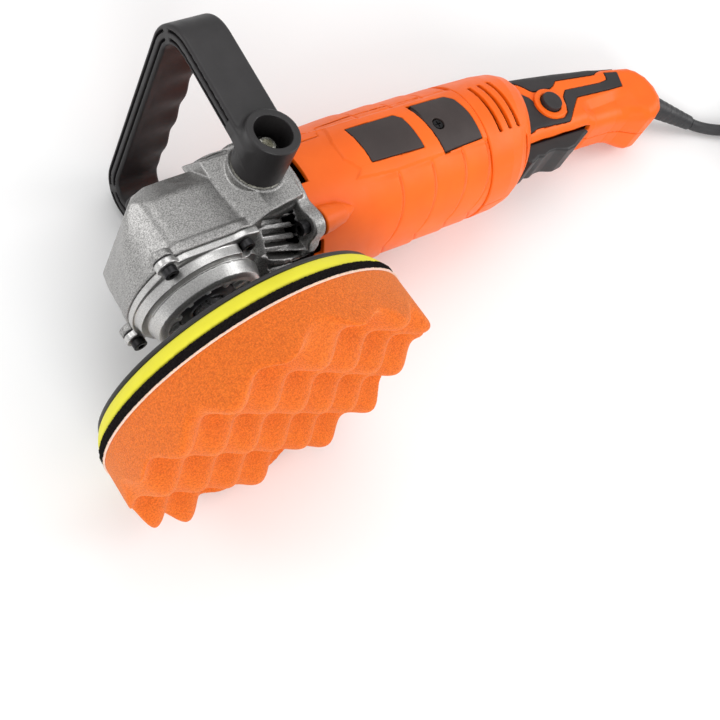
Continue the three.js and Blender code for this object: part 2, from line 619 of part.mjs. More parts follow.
function buildSwitch() {
  const [px, pz] = TRIGGER_PIVOT;
  const paddle = outline([
    [px - 15, 71], [px - 6, 94], [px + 6, 95], [304, 92], [306.5, 85], [284, 75.5], [262, 77.5], [248, 75.5],
    [236, 70.5],
  ]);
  piece('switch_trigger', slab(paddle, [-12.5, 12.5], 2), BLACK);
  const [lx, lz] = LOCK_ON;
  const switchBody = union(
    block([lx - 20, lx + 20], [-9, 9], [104, 126]),
    rod(3, [101, 105], 'z', [lx, 0, 0], 12),
  );
  piece('switch_body', switchBody, BLACK);
  const button = turned([
    [0, 13.2], [7, 13.2], [7, 23.6], [6.2, 24.6], [0, 25],
  ], 'y', [0, 0, 0], 28).rotate([0, 0, 180]);
  piece('lock_on_button', button.translate([lx, 0, lz]), BLACK);
}

// ---------------------------------------------------------------- D-handle
function buildHandle() {
  const wall = 10.5;
  const side = HANDLE_HALF_WIDTH;
  const top = HANDLE_TOP;
  const foot = HANDLE_BOSS_Z;
  const arch = new THREE.Shape();
  arch.moveTo(-side + 11, foot);
  arch.lineTo(-side, top - 26);
  arch.quadraticCurveTo(-side - 0.5, top - 1.5, -side + 22, top);
  arch.lineTo(side - 22, top);
  arch.quadraticCurveTo(side + 0.5, top - 1.5, side, top - 26);
  arch.lineTo(side - 11, foot);
  arch.lineTo(side - 11 - wall, foot);
  arch.lineTo(side - wall, top - 28);
  arch.quadraticCurveTo(side - wall - 0.5, top - wall, side - 25, top - wall);
  arch.lineTo(-side + 25, top - wall);
  arch.quadraticCurveTo(-side + wall + 0.5, top - wall, -side + wall, top - 28);
  arch.lineTo(-side + 11 + wall, foot);
  arch.closePath();
  const geometry = new THREE.ExtrudeGeometry(arch, {
    depth: HANDLE_BAND - 4, bevelEnabled: true, bevelThickness: 2, bevelSize: 2, bevelOffset: -2,
    bevelSegments: 1, curveSegments: 5,
  });
  // the arch is drawn across the tool (Y, Z) and stands along X
  geometry.applyMatrix4(new THREE.Matrix4().makeBasis(
    new THREE.Vector3(0, 1, 0), new THREE.Vector3(0, 0, 1), new THREE.Vector3(1, 0, 0),
  ));
  geometry.translate(HANDLE_X - HANDLE_BAND / 2 + 2, 0, 0);
  const band = solid(geometry);
  const at = [HANDLE_X, 0, HANDLE_BOSS_Z];
  const bossStart = 46.9;
  const floor = 57;
  const bosses = [];
  const bores = [];
  for (const sign of [-1, 1]) {
    const along = (near, far) => (sign < 0 ? [-far, -near] : [near, far]);
    bosses.push(rod(HANDLE_BOSS_RADIUS, along(bossStart, HANDLE_BOSS_END), 'y', at, 28));
    bores.push(rod(10.6, along(floor, HANDLE_BOSS_END + 10), 'y', at, 20));
    bores.push(rod(4.5, along(bossStart - 2, floor + 1), 'y', at, 12));
  }
  piece('d_handle', cut(union(band, ...bosses), ...bores), BLACK);

  for (const [name, sign] of [['left', -1], ['right', 1]]) {
    const bolt = turned([
      [0, 0], [4.6, 0.4], [6.6, 3], [6.6, 7.5], [4, 7.5], [4, 28], [0, 28],
    ], 'z', [0, 0, 0], 16);
    const socket = rod(3.4, [-1, 4.5], 'z', [0, 0, 0], 6);
    const upright = cut(bolt, socket).rotate([sign < 0 ? -90 : 90, 0, 0]);
    piece(`d_handle_bolt_${name}`, upright.translate([HANDLE_X, sign * (floor + GAP + 7.5), HANDLE_BOSS_Z]), ZINC);
    const washer = ring(4.4, 14.6, sign < 0 ? [-46.6, -45.8] : [45.8, 46.6], 'y', at, 20);
    piece(`d_handle_washer_${name}`, washer, ZINC);
  }
}

// ---------------------------------------------------------------- laying the tool down
// Floor frame: the spindle's axis runs along Y at one pad radius above the floor, the motor along +X
// and downhill by the lean. Z is up.
const toolToFloor = new THREE.Matrix4().makeTranslation(0, 0, PAD_RADIUS)
  .multiply(new THREE.Matrix4().makeRotationX(TIP))
  .multiply(new THREE.Matrix4().makeRotationY(LEAN))
  .multiply(new THREE.Matrix4().makeRotationX(-Math.PI / 2));

// ---------------------------------------------------------------- strain relief, cord and plug
const BOOT_LENGTH = 46;

function buildStrainRelief() {
  const boot = turned([
    [0, 0], [5.2, 0], [5.2, 7], [7.4, 9], [7.2, 16], [5.4, BOOT_LENGTH - 1], [4.8, BOOT_LENGTH], [0, BOOT_LENGTH],
  ], 'z', [0, 0, 0], 20);
  piece('strain_relief', boot.transform(bootPlace), RUBBER);
}

// The cord's route over the floor, from the strain relief's tip to the coil.
const CORD_ROUTE = [
  [409.4, 72.7, 6.7], [413.2, 69.8, 5.3], [418, 66.2, 4.5], [424.5, 61.6, 4.2], [432, 57.4, 4.2],
  [440.5, 54, 4.2], [447, 52.4, 4.2], [452.5, 52, 4.2],
];

function sectorBox(centre, radius, width, angle) {
  const long = block([radius - 25, radius + 25], [-width / 2, width / 2], [-1, 40]);
  return long.rotate([0, 0, angle]).translate([centre[0], centre[1], 0]);
}

function buildCord(group) {
  const route = new THREE.CatmullRomCurve3(CORD_ROUTE.map((point) => new THREE.Vector3(...point)));
  const section = new THREE.Shape().absarc(0, 0, CORD_RADIUS, 0, 2 * Math.PI);
  const tube = new THREE.ExtrudeGeometry(section, {
    extrudePath: route, steps: 6, bevelEnabled: false, curveSegments: 5,
  });
  piece('power_cord', solid(tube), RUBBER, group);

  const bundleHeight = 33;
  const corner = 7;
  const bundle = (inset) => {
    const inner = COIL_MEAN_RADIUS - COIL_BUNDLE + inset;
    const outer = COIL_MEAN_RADIUS + COIL_BUNDLE - inset;
    const top = bundleHeight - inset;
    return turned([
      [inner + corner / 2, inset], [outer - corner / 2, inset], [outer, inset + corner], [outer, top - corner],
      [outer - corner, top], [inner + corner, top], [inner, top - corner], [inner, inset + corner],
    ], 'z', [COIL_CENTRE[0], COIL_CENTRE[1], 0], 24);
  };
  const tieAngle = 200;
  const tieThickness = 1.6;
  const slot = sectorBox(COIL_CENTRE, COIL_MEAN_RADIUS, 14 + 2 * GAP, tieAngle);
  const groove = bundle(0).subtract(bundle(tieThickness + GAP)).intersect(slot);
  piece('cord_coil', bundle(0).subtract(groove), RUBBER, group);
  const tieSpace = sectorBox(COIL_CENTRE, COIL_MEAN_RADIUS, 14, tieAngle);
  const tie = bundle(0).subtract(bundle(tieThickness)).intersect(tieSpace);
  piece('cord_tie', tie, BLACK, group);

  const plugX = COIL_CENTRE[0] + 53;
  const plugZ = 9.3;
  const body = turned([
    [0, 36], [5.5, 36], [6.5, 48], [12, 54], [14, 60], [14, 84], [0, 84],
  ], 'y', [0, 0, 0], 20).rotate([0, 0, 180]);
  const flat = block([-20, 20], [-90, -30], [-9, 9]);
  piece('plug', body.intersect(flat).translate([plugX, COIL_CENTRE[1], plugZ]), RUBBER, group);
  const face = block([-11, 11], [-85.5, -84 - GAP], [-7, 7]);
  const pins = [-9.5, 9.5].map((x) => rod(2.4, [-104, -85], 'y', [x, 0, 0], 12));
  piece('plug_contacts', union(face, ...pins).translate([plugX, COIL_CENTRE[1], plugZ]), BRASS, group);
}

buildPad();
buildGears();
buildSpindle();
buildSpindleCover();
buildCoverScrews();
buildGearHousing();
buildMotorHousing();
buildField();
buildArmature();
buildBrushes();
buildRearShells();
buildInlays();
buildSwitch();
buildHandle();
buildStrainRelief();
tool.applyMatrix4(toolToFloor);

const cord = new THREE.Group();
buildCord(cord);

// The origin is the middle of the tool's box, at floor level.
tool.updateMatrixWorld(true);
const box = new THREE.Box3().setFromObject(tool, true);
const part = new THREE.Group();
part.add(tool, cord);
part.position.set(-(box.min.x + box.max.x) / 2, -(box.min.y + box.max.y) / 2, -box.min.z);

export default part;
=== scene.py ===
"""A rotary polisher lying on its side, dressed for rendering round its CAD frame.

Shapes are drawn in millimetres in the tool's own frame: +X along the motor to the rear grip,
+Z along the spindle from the pad to the gear head, the pad's working face at z = 0. Most of them
are distance fields, turned into meshes on a grid, which gives castings and mouldings their soft
edges. place() carries them to the frame that the CAD uses.
"""
import functools
import json
import math

import bpy
import numpy as np
from mathutils import Matrix, Vector


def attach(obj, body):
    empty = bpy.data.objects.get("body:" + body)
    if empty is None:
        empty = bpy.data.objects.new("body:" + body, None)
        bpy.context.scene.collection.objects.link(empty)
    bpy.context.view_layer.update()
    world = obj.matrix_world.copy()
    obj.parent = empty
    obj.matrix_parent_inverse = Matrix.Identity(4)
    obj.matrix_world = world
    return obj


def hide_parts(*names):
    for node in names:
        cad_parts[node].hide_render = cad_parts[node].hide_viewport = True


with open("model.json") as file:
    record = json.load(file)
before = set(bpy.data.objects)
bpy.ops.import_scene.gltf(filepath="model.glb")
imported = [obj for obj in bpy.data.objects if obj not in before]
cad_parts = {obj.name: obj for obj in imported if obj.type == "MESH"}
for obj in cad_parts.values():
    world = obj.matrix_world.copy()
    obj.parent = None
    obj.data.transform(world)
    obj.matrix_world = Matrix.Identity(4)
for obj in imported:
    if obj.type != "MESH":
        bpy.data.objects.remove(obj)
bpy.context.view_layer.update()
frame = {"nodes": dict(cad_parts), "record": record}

# ---------------------------------------------------------------- the tool's frame
JOINTS = {joint["name"]: joint for joint in frame["record"]["behaviour"]["joints"]}
AXIS_X = np.array(JOINTS["motor_spin"]["axis"])
AXIS_Z = np.array(JOINTS["spindle_spin"]["axis"])
AXIS_Y = np.cross(AXIS_Z, AXIS_X)
MOTOR_Z = 116
MOTOR_JOINT = np.array([100.0, 0.0, MOTOR_Z])
TOOL_AXES = np.array([AXIS_X, AXIS_Y, AXIS_Z])
TOOL_ORIGIN = np.array(JOINTS["motor_spin"]["pos_m"]) - MOTOR_JOINT / 1000 @ TOOL_AXES


def place(points):
    """Points in tool millimetres, one a row, in the scene's metres."""
    return np.asarray(points, float) / 1000 @ TOOL_AXES + TOOL_ORIGIN


# ---------------------------------------------------------------- camera
CAMERA_AT = Vector((-0.38848, -0.24601, 0.70097))
CAMERA_TARGET = Vector((-0.09297, -0.08353, 0.06))
CAMERA_ROLL = math.radians(29.667)
camera_data = bpy.data.cameras.new("camera")
camera_data.lens = 65
camera_data.sensor_width = 36
camera_data.clip_start = 0.01
camera = bpy.data.objects.new("camera", camera_data)
bpy.context.scene.collection.objects.link(camera)
look = (CAMERA_TARGET - CAMERA_AT).to_track_quat("-Z", "Y").to_matrix().to_4x4()
camera.matrix_world = Matrix.Translation(CAMERA_AT) @ look @ Matrix.Rotation(CAMERA_ROLL, 4, "Z")
bpy.context.scene.camera = camera
bpy.context.scene.view_settings.view_transform = "Standard"
bpy.context.view_layer.update()


# ---------------------------------------------------------------- materials
def node_material(name, color, roughness, metallic=0.0, **inputs):
    material = bpy.data.materials.new(name)
    material.use_nodes = True
    shader = material.node_tree.nodes["Principled BSDF"]
    shader.inputs["Base Color"].default_value = (*color, 1)
    shader.inputs["Roughness"].default_value = roughness
    shader.inputs["Metallic"].default_value = metallic
    for key, value in inputs.items():
        shader.inputs[key.replace("_", " ")].default_value = value
    material.diffuse_color = (*color, 1)
    return material


def add(material, kind, **settings):
    node = material.node_tree.nodes.new(kind)
    for key, value in settings.items():
        setattr(node, key, value)
    return node


def link(material, out, into):
    material.node_tree.links.new(out, into)


def noise(material, size, detail=2.0, roughness=0.5, stretch=None):
    """Noise whose blobs are about `size` millimetres across, on the piece's own coordinates."""
    coordinates = add(material, "ShaderNodeTexCoord")
    texture = add(material, "ShaderNodeTexNoise")
    texture.inputs["Scale"].default_value = 1000 / size
    texture.inputs["Detail"].default_value = detail
    texture.inputs["Roughness"].default_value = roughness
    out = coordinates.outputs["Object"]
    if stretch is not None:
        mapping = add(material, "ShaderNodeMapping")
        mapping.inputs["Scale"].default_value = stretch
        link(material, out, mapping.inputs["Vector"])
        out = mapping.outputs["Vector"]
    link(material, out, texture.inputs["Vector"])
    return texture.outputs["Fac"]


def vary_color(material, source, low, high, start=0.35, end=0.65):
    ramp = add(material, "ShaderNodeValToRGB")
    ramp.color_ramp.elements[0].position = start
    ramp.color_ramp.elements[0].color = (*low, 1)
    ramp.color_ramp.elements[1].position = end
    ramp.color_ramp.elements[1].color = (*high, 1)
    link(material, source, ramp.inputs["Fac"])
    shader = material.node_tree.nodes["Principled BSDF"]
    link(material, ramp.outputs["Color"], shader.inputs["Base Color"])


def vary_roughness(material, source, low, high):
    spread = add(material, "ShaderNodeMapRange")
    spread.inputs["From Min"].default_value = 0.3
    spread.inputs["From Max"].default_value = 0.7
    spread.inputs["To Min"].default_value = low
    spread.inputs["To Max"].default_value = high
    link(material, source, spread.inputs["Value"])
    shader = material.node_tree.nodes["Principled BSDF"]
    link(material, spread.outputs["Result"], shader.inputs["Roughness"])


def bump(material, source, depth, strength=1.0, after=None):
    """Bump of `depth` millimetres."""
    node = add(material, "ShaderNodeBump")
    node.inputs["Distance"].default_value = depth / 1000
    node.inputs["Strength"].default_value = strength
    link(material, source, node.inputs["Height"])
    if after is not None:
        link(material, after, node.inputs["Normal"])
    shader = material.node_tree.nodes["Principled BSDF"]
    link(material, node.outputs["Normal"], shader.inputs["Normal"])
    return node.outputs["Normal"]


def moulded(name, low, high, rough, grain=0.35, depth=0.02, **inputs):
    """Moulded plastic or rubber: faint mottling, an uneven sheen and a fine grain."""
    material = node_material(name, high, rough[0], **inputs)
    vary_color(material, noise(material, 28, 3), low, high)
    vary_roughness(material, noise(material, 9, 4, 0.6), *rough)
    bump(material, noise(material, grain, 2), depth)
    return material


def machined(name, low, high, rough, grain=0.5, depth=0.008, stretch=None, **inputs):
    """Turned, plated or drawn metal, with fine marks."""
    material = node_material(name, high, rough[0], 1.0, **inputs)
    vary_color(material, noise(material, 4, 4, 0.6), low, high)
    vary_roughness(material, noise(material, 2.5, 4, 0.6, stretch), *rough)
    bump(material, noise(material, grain, 2, 0.5, stretch), depth)
    return material


def cast_aluminium(name, dark, pale, rough, grain):
    material = node_material(name, pale, rough, 0.92)
    vary_color(material, noise(material, 0.7, 3, 0.7), dark, pale, 0.36, 0.66)
    vary_roughness(material, noise(material, 6, 3), rough - 0.05, rough + 0.07)
    first = bump(material, noise(material, 14, 2), 0.1, 0.4)
    bump(material, noise(material, 0.8, 3, 0.6), grain, 0.8, first)
    return material


def foam(name, pore_shade, crest, cell, depth):
    material = node_material(name, crest, 0.95, Sheen_Weight=0.1, Sheen_Roughness=0.6)
    shader = material.node_tree.nodes["Principled BSDF"]
    shader.inputs["Subsurface Weight"].default_value = 0.35
    shader.inputs["Subsurface Radius"].default_value = (1.0, 0.42, 0.18)
    shader.inputs["Subsurface Scale"].default_value = 0.003
    shader.inputs["Specular IOR Level"].default_value = 0.2
    # Random speckle between the dark colour and the crest colour: the dark colour is painted shade in the
    # foam's pores, not a tone of the foam itself.
    vary_color(material, noise(material, cell * 1.1, 4, 0.75), pore_shade, crest, 0.30, 0.62)
    first = bump(material, noise(material, cell * 4, 2), depth * 1.2, 0.5)
    bump(material, noise(material, cell, 4, 0.8), depth, 0.9, first)
    return material


def loop_pile():
    material = node_material("hook_and_loop", (0.012, 0.011, 0.011), 1.0, Specular_IOR_Level=0.15)
    vary_color(material, noise(material, 0.9, 4, 0.8), (0.001, 0.001, 0.001), (0.016, 0.012, 0.012))
    bump(material, noise(material, 0.7, 4, 0.8), 0.6)
    return material


ORANGE = moulded("orange_plastic", (0.86, 0.122, 0.002), (0.92, 0.138, 0.004), (0.40, 0.50), 0.5, 0.012,
                 Specular_IOR_Level=0.32)
BLACK = moulded("black_plastic", (0.009, 0.008, 0.0085), (0.015, 0.013, 0.014), (0.42, 0.54), 0.4, 0.02)
SOFT = moulded("soft_grip", (0.014, 0.012, 0.0125), (0.022, 0.018, 0.019), (0.60, 0.72), 0.5, 0.035)
RUBBER = moulded("cord_rubber", (0.016, 0.016, 0.018), (0.026, 0.026, 0.028), (0.42, 0.56), 0.8, 0.03)
PLATE = moulded("name_plate_black", (0.026, 0.016, 0.0145), (0.035, 0.022, 0.020), (0.5, 0.6), 0.3, 0.015)
CAST = cast_aluminium("cast_aluminium", (0.19, 0.187, 0.184), (0.53, 0.522, 0.51), 0.42, 0.1)
TURNED_CAST = cast_aluminium("turned_cast_aluminium", (0.44, 0.435, 0.43), (0.68, 0.675, 0.66), 0.34, 0.035)
STEEL = machined("turned_steel", (0.42, 0.42, 0.43), (0.6, 0.6, 0.61), (0.22, 0.36), stretch=(1, 1, 6))
BLACK_STEEL = machined("blacked_steel", (0.02, 0.02, 0.021), (0.045, 0.044, 0.046), (0.3, 0.42))
ZINC = machined("plated_zinc", (0.55, 0.54, 0.47), (0.76, 0.75, 0.68), (0.18, 0.3))
COPPER = machined("copper", (0.5, 0.2, 0.09), (0.72, 0.33, 0.17), (0.25, 0.4), stretch=(1, 6, 1))
BRASS = machined("brass", (0.55, 0.4, 0.14), (0.72, 0.56, 0.24), (0.2, 0.34))
CARBON = moulded("carbon", (0.018, 0.018, 0.018), (0.04, 0.04, 0.04), (0.5, 0.65), 0.3, 0.03)
FOAM = foam("orange_foam", (0.50, 0.080, 0.004), (0.86, 0.195, 0.018), 0.8, 0.6)
GLUE = foam("foam_glue_line", (0.75, 0.42, 0.30), (0.92, 0.66, 0.55), 0.7, 0.25)
CUSHION = moulded("yellow_cushion", (0.74, 0.68, 0.020), (0.82, 0.76, 0.030), (0.55, 0.68), 0.6, 0.05)
LOOP = loop_pile()

SLOT_MATERIAL = {
    "orange_shell": ORANGE, "black_plastic": BLACK, "soft_grip": SOFT, "cast_alloy": CAST, "steel": STEEL,
    "black_fastener": BLACK_STEEL, "zinc_plate": ZINC, "copper": COPPER, "brass": BRASS, "carbon": CARBON,
    "orange_foam": FOAM, "yellow_foam": CUSHION, "hook_loop": LOOP, "cord_rubber": RUBBER,
}
for subpart in frame["record"]["subparts"]:
    node = frame["nodes"][subpart["node"]]
    node.data.materials.clear()
    node.data.materials.append(SLOT_MATERIAL[subpart["material_slot"]])


# ---------------------------------------------------------------- distance fields
def union(*fields):
    """Fields joined with no rounding between them."""
    return functools.reduce(np.minimum, fields)


def smooth_min(a, b, k):
    h = np.clip(0.5 + 0.5 * (b - a) / k, 0, 1)
    return b + (a - b) * h - k * h * (1 - h)


def smooth_max(a, b, k):
    return -smooth_min(-a, -b, k)


def corner(a, b, radius=0.0):
    """The overlap of two fields, with a rounded outer corner."""
    a, b = a + radius, b + radius
    outside = np.sqrt(np.maximum(a, 0) ** 2 + np.maximum(b, 0) ** 2)
    return outside + np.minimum(np.maximum(a, b), 0) - radius


def band(value, low, high):
    return np.abs(value - (low + high) / 2) - (high - low) / 2


def block(x, y, z, spans, radius=0.0):
    (x0, x1), (y0, y1), (z0, z1) = spans
    plan = corner(band(x, x0, x1), band(y, y0, y1), radius)
    return corner(plan, band(z, z0, z1), radius)


def rod(across, along, radius, span, edge=0.0):
    """A rod: `across` is the distance from its axis."""
    return corner(across - radius, band(along, *span), edge)


def outline(u, v, points):
    """Signed distance to a polygon."""
    points = np.asarray(points, float)
    nearest = np.full(np.broadcast(u, v).shape, 1e9)
    inside = np.zeros(nearest.shape, bool)
    for a, b in zip(points, np.roll(points, -1, axis=0)):
        edge = b - a
        du, dv = u - a[0], v - a[1]
        along = np.clip((du * edge[0] + dv * edge[1]) / (edge @ edge), 0, 1)
        nearest = np.minimum(nearest, (du - edge[0] * along) ** 2 + (dv - edge[1] * along) ** 2)
        if a[1] != b[1]:
            crosses = (a[1] > v) != (b[1] > v)
            inside ^= crosses & (u < a[0] + edge[0] * (v - a[1]) / edge[1])
    distance = np.sqrt(nearest)
    return np.where(inside, -distance, distance)


CELL_CORNERS = [(i, j, k) for i in (0, 1) for j in (0, 1) for k in (0, 1)]


def cell_edges():
    edges = []
    for a, first in enumerate(CELL_CORNERS):
        for b, second in enumerate(CELL_CORNERS):
            if a < b and sum(abs(p - q) for p, q in zip(first, second)) == 1:
                edges.append((a, b))
    return edges


def surface(field, low, high, step):
    """Surface nets: the field's zero surface as vertices and four-sided faces."""
    low, high = np.array(low, float), np.array(high, float)
    counts = np.ceil((high - low) / step).astype(int) + 1
    axes = [low[i] + step * np.arange(counts[i]) for i in range(3)]
    values = field(axes[0][:, None, None], axes[1][None, :, None], axes[2][None, None, :])
    values = np.broadcast_to(values, counts).astype(np.float32)
    inside = np.zeros(counts, bool)
    inside[1:-1, 1:-1, 1:-1] = values[1:-1, 1:-1, 1:-1] < 0
    values = np.where(inside, values, np.maximum(values, 1e-4))

    def shifted(array, offset):
        return array[tuple(slice(o, n - 1 + o) for o, n in zip(offset, counts))]

    total = sum(shifted(inside, offset).astype(np.int8) for offset in CELL_CORNERS)
    cells = np.argwhere((total > 0) & (total < 8))
    number = np.full(counts - 1, -1, np.int64)
    number[tuple(cells.T)] = np.arange(len(cells))
    at_corner = [values[tuple((cells + offset).T)] for offset in CELL_CORNERS]
    position = np.zeros((len(cells), 3))
    hits = np.zeros(len(cells))
    for a, b in cell_edges():
        va, vb = at_corner[a], at_corner[b]
        crosses = (va < 0) != (vb < 0)
        share = np.where(crosses, va / np.where(crosses, va - vb, 1), 0)[:, None]
        start, end = np.array(CELL_CORNERS[a], float), np.array(CELL_CORNERS[b], float)
        position += np.where(crosses[:, None], start + share * (end - start), 0)
        hits += crosses
    vertices = low + step * (cells + position / hits[:, None])

    faces = []
    for axis in range(3):
        first = [slice(None)] * 3
        second = [slice(None)] * 3
        first[axis], second[axis] = slice(0, -1), slice(1, None)
        change = inside[tuple(first)] != inside[tuple(second)]
        edges = np.argwhere(change)
        starts_inside = inside[tuple(edges.T)]
        u, v = (axis + 1) % 3, (axis + 2) % 3
        around = []
        for du, dv in ((-1, -1), (0, -1), (0, 0), (-1, 0)):
            cell = edges.copy()
            cell[:, u] += du
            cell[:, v] += dv
            around.append(number[tuple(cell.T)])
        quads = np.stack(around, axis=1)
        quads[~starts_inside] = quads[~starts_inside][:, ::-1]
        faces.append(quads)
    return vertices, np.concatenate(faces)


PROBE = 0.12
PROBE_WAYS = ((1, -1, -1), (-1, -1, 1), (-1, 1, -1), (1, 1, 1))


def slope(field, points):
    total = np.zeros_like(points)
    for way in PROBE_WAYS:
        x, y, z = (points + PROBE * np.array(way)).T
        total += np.asarray(field(x, y, z))[:, None] * np.array(way)
    return total / (4 * PROBE)


def settle(field, points, reach, rounds=2):
    """Moves points onto the field's zero surface, and returns them with their normals."""
    for _ in range(rounds):
        gradient = slope(field, points)
        steep = np.maximum((gradient ** 2).sum(axis=1, keepdims=True), 0.25)
        step = np.asarray(field(*points.T))[:, None] * gradient / steep
        length = np.linalg.norm(step, axis=1, keepdims=True)
        points = points - step * np.minimum(1, reach / np.maximum(length, 1e-9))
    gradient = slope(field, points)
    return points, gradient / np.maximum(np.linalg.norm(gradient, axis=1, keepdims=True), 1e-9)


# ---------------------------------------------------------------- meshes
def fill_mesh(mesh, vertices, faces):
    mesh.vertices.add(len(vertices))
    mesh.vertices.foreach_set("co", np.asarray(vertices, np.float32).ravel())
    sides = faces.shape[1]
    mesh.loops.add(faces.size)
    mesh.loops.foreach_set("vertex_index", faces.astype(np.int32).ravel())
    mesh.polygons.add(len(faces))
    mesh.polygons.foreach_set("loop_start", np.arange(0, faces.size, sides, dtype=np.int32))
    mesh.polygons.foreach_set("loop_total", np.full(len(faces), sides, np.int32))
    mesh.update(calc_edges=True)
    mesh.validate()


def read_vertices(mesh):
    flat = np.empty(len(mesh.vertices) * 3, np.float32)
    mesh.vertices.foreach_get("co", flat)
    return flat.reshape(-1, 3).astype(float)


def thinned(mesh, share):
    """The mesh with its faces cut to a share of their number, mostly where it is flat."""
    helper = bpy.data.objects.new("thinning", mesh)
    bpy.context.scene.collection.objects.link(helper)
    modifier = helper.modifiers.new("thin", "DECIMATE")
    modifier.ratio = share
    graph = bpy.context.evaluated_depsgraph_get()
    result = bpy.data.meshes.new_from_object(helper.evaluated_get(graph))
    bpy.data.objects.remove(helper)
    return result


def make_piece(name, mesh, look, body, nodes):
    piece = bpy.data.objects.new(name, mesh)
    bpy.context.scene.collection.objects.link(piece)
    mesh.materials.clear()
    mesh.materials.append(look)
    bpy.context.view_layer.update()
    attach(piece, body)
    if nodes:
        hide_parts(*nodes)
    return piece


def field_mesh(name, field, low, high, step, share, to_scene, axes):
    """A field's zero surface as a mesh. The rows of `axes` are the field's axes in the scene."""
    vertices, faces = surface(field, low, high, step)
    vertices, _ = settle(field, vertices, step * 0.6)
    mesh = bpy.data.meshes.new(name)
    fill_mesh(mesh, vertices, faces)
    mesh = thinned(mesh, share)
    mesh.name = name
    points, normals = settle(field, read_vertices(mesh), step * 0.3, 1)
    mesh.vertices.foreach_set("co", to_scene(points).astype(np.float32).ravel())
    mesh.polygons.foreach_set("use_smooth", np.ones(len(mesh.polygons), bool))
    mesh.update()
    mesh.normals_split_custom_set_from_vertices((normals @ axes).tolist())
    return mesh


def field_piece(name, field, low, high, step, look, body, nodes, share):
    """A piece drawn as a distance field in tool millimetres."""
    mesh = field_mesh(name, field, low, high, step, share, place, TOOL_AXES)
    return make_piece(name, mesh, look, body, nodes)


def lathe_piece(name, profile, look, body, nodes, sides=160, ruffle=None):
    """A closed profile of [radius, z] points turned about the spindle."""
    profile = np.array(profile, float)
    angles = 2 * np.pi * np.arange(sides) / sides
    radius, height = profile[:, 0][:, None], profile[:, 1][:, None]
    if ruffle is not None:
        radius, height = ruffle(radius, height, angles[None, :])
    turned = np.broadcast_arrays(radius * np.cos(angles), radius * np.sin(angles), height + 0 * angles)
    grid = np.stack(turned, -1)
    rows = len(profile)
    index = np.arange(rows * sides).reshape(rows, sides)
    right = np.roll(index, -1, axis=1)
    below, below_right = np.roll(index, -1, axis=0), np.roll(right, -1, axis=0)
    faces = np.stack([index, right, below_right, below], axis=-1).reshape(-1, 4)
    mesh = bpy.data.meshes.new(name)
    fill_mesh(mesh, place(grid.reshape(-1, 3)), faces)
    mesh.polygons.foreach_set("use_smooth", np.ones(len(mesh.polygons), bool))
    return make_piece(name, mesh, look, body, nodes)


# ---------------------------------------------------------------- pad
PAD_RADIUS = 90
FOAM_TOP = 33
WAFFLE_PITCH = 34
WAFFLE_DEPTH = 18.4
WAFFLE_TURN = math.radians(39)
WAFFLE_SHIFT = (1.9, 1.5)


def waffle_height(x, y):
    """Height of the foam's wavy face above the plane of its crests."""
    u = x * math.cos(WAFFLE_TURN) + y * math.sin(WAFFLE_TURN)
    v = y * math.cos(WAFFLE_TURN) - x * math.sin(WAFFLE_TURN)
    turn = 2 * np.pi / WAFFLE_PITCH
    waves = np.cos(turn * (u - WAFFLE_SHIFT[0])) + np.cos(turn * (v - WAFFLE_SHIFT[1]))
    return WAFFLE_DEPTH * (0.5 + 0.25 * waves)


def foam_field(x, y, z):
    side = np.hypot(x, y) - (PAD_RADIUS - 0.3 - 0.02 * np.maximum(z, 0))
    face = (waffle_height(x, y) - z) * 0.66
    return smooth_max(smooth_max(side, face, 2.5), z - FOAM_TOP, 1.2)


pad = field_piece("waffle_foam", foam_field, (-92, -92, -2), (92, 92, 34.5), 1.3, FOAM, "spindle_and_pad",
                  ["foam_pad"], 0.6)


def uneven(size, seed):
    """A ruffle for a lathe: its outer wall wanders by up to `size` millimetres."""
    chance = np.random.default_rng(seed)

    def ruffle(radius, height, angles):
        wander = chance.uniform(-size, size, (radius.shape[0], angles.shape[1]))
        outer = radius > radius.max() - 1.2
        return radius + np.where(outer, wander, 0), height + 0 * angles
    return ruffle


def wall(radius, low, high, count):
    return [[radius, low + (high - low) * i / count] for i in range(count + 1)]


lathe_piece("glue_line", [[84, 32.1], *wall(89.6, 32.2, 33.2, 2), [84, 33.3]], GLUE, "spindle_and_pad",
            [], 720, uneven(0.25, 5))
lathe_piece("loop_layer", [[0.5, 33.3], *wall(89.0, 33.3, 38.0, 11), [0.5, 38.0]], LOOP, "spindle_and_pad",
            ["hook_loop_layer"], 1100, uneven(0.38, 6))
lathe_piece("cushion_ring", [
    [0.5, 38.2], [86.6, 38.2], [87.6, 38.5], [87.9, 39.2], [87.7, 40.6], [87.0, 42.3], [85.8, 44.4],
    [84.9, 45.7], [83.9, 46.6], [0.5, 46.6],
], CUSHION, "spindle_and_pad", ["plate_cushion"])
lathe_piece("backing_disc", [
    [12.3, 46.9], [82.4, 46.9], [83.2, 47.1], [83.5, 47.8], [83.4, 48.8], [83.1, 49.4], [82.6, 49.7],
    [80, 49.8], [79.2, 50.2], [78.4, 50.3], [66, 50.6], [60, 50.9], [50, 52.2], [44, 53.4],
    [41.5, 54.2], [40.6, 55.0], [39.6, 55.2], [33, 56.3], [29, 58.2], [26, 60.5], [24.2, 62.6],
    [23.2, 63.6], [22, 64], [16, 64.1], [12.8, 64.0], [12.3, 63.5],
], BLACK, "spindle_and_pad", ["backing_plate"])


# ---------------------------------------------------------------- cast gear head
MOTOR_RADIUS = 43.5
MOTOR_BORE = 39.9
SCREW_HOLE = 2.4
COVER_SCREWS = ((-28, 35), (20, 33))
FLANGE_SCREWS = ((36, 86), (36, 146))
HANDLE_X, HANDLE_Z = 45, 124


def head_plan(x, y, inset):
    """The head in plan: a round nose between straight flanks."""
    nose = np.hypot(x - 9, y) - (48 - inset)
    flank = y - (38.6 - inset)
    return smooth_max(nose, flank, 2.2)


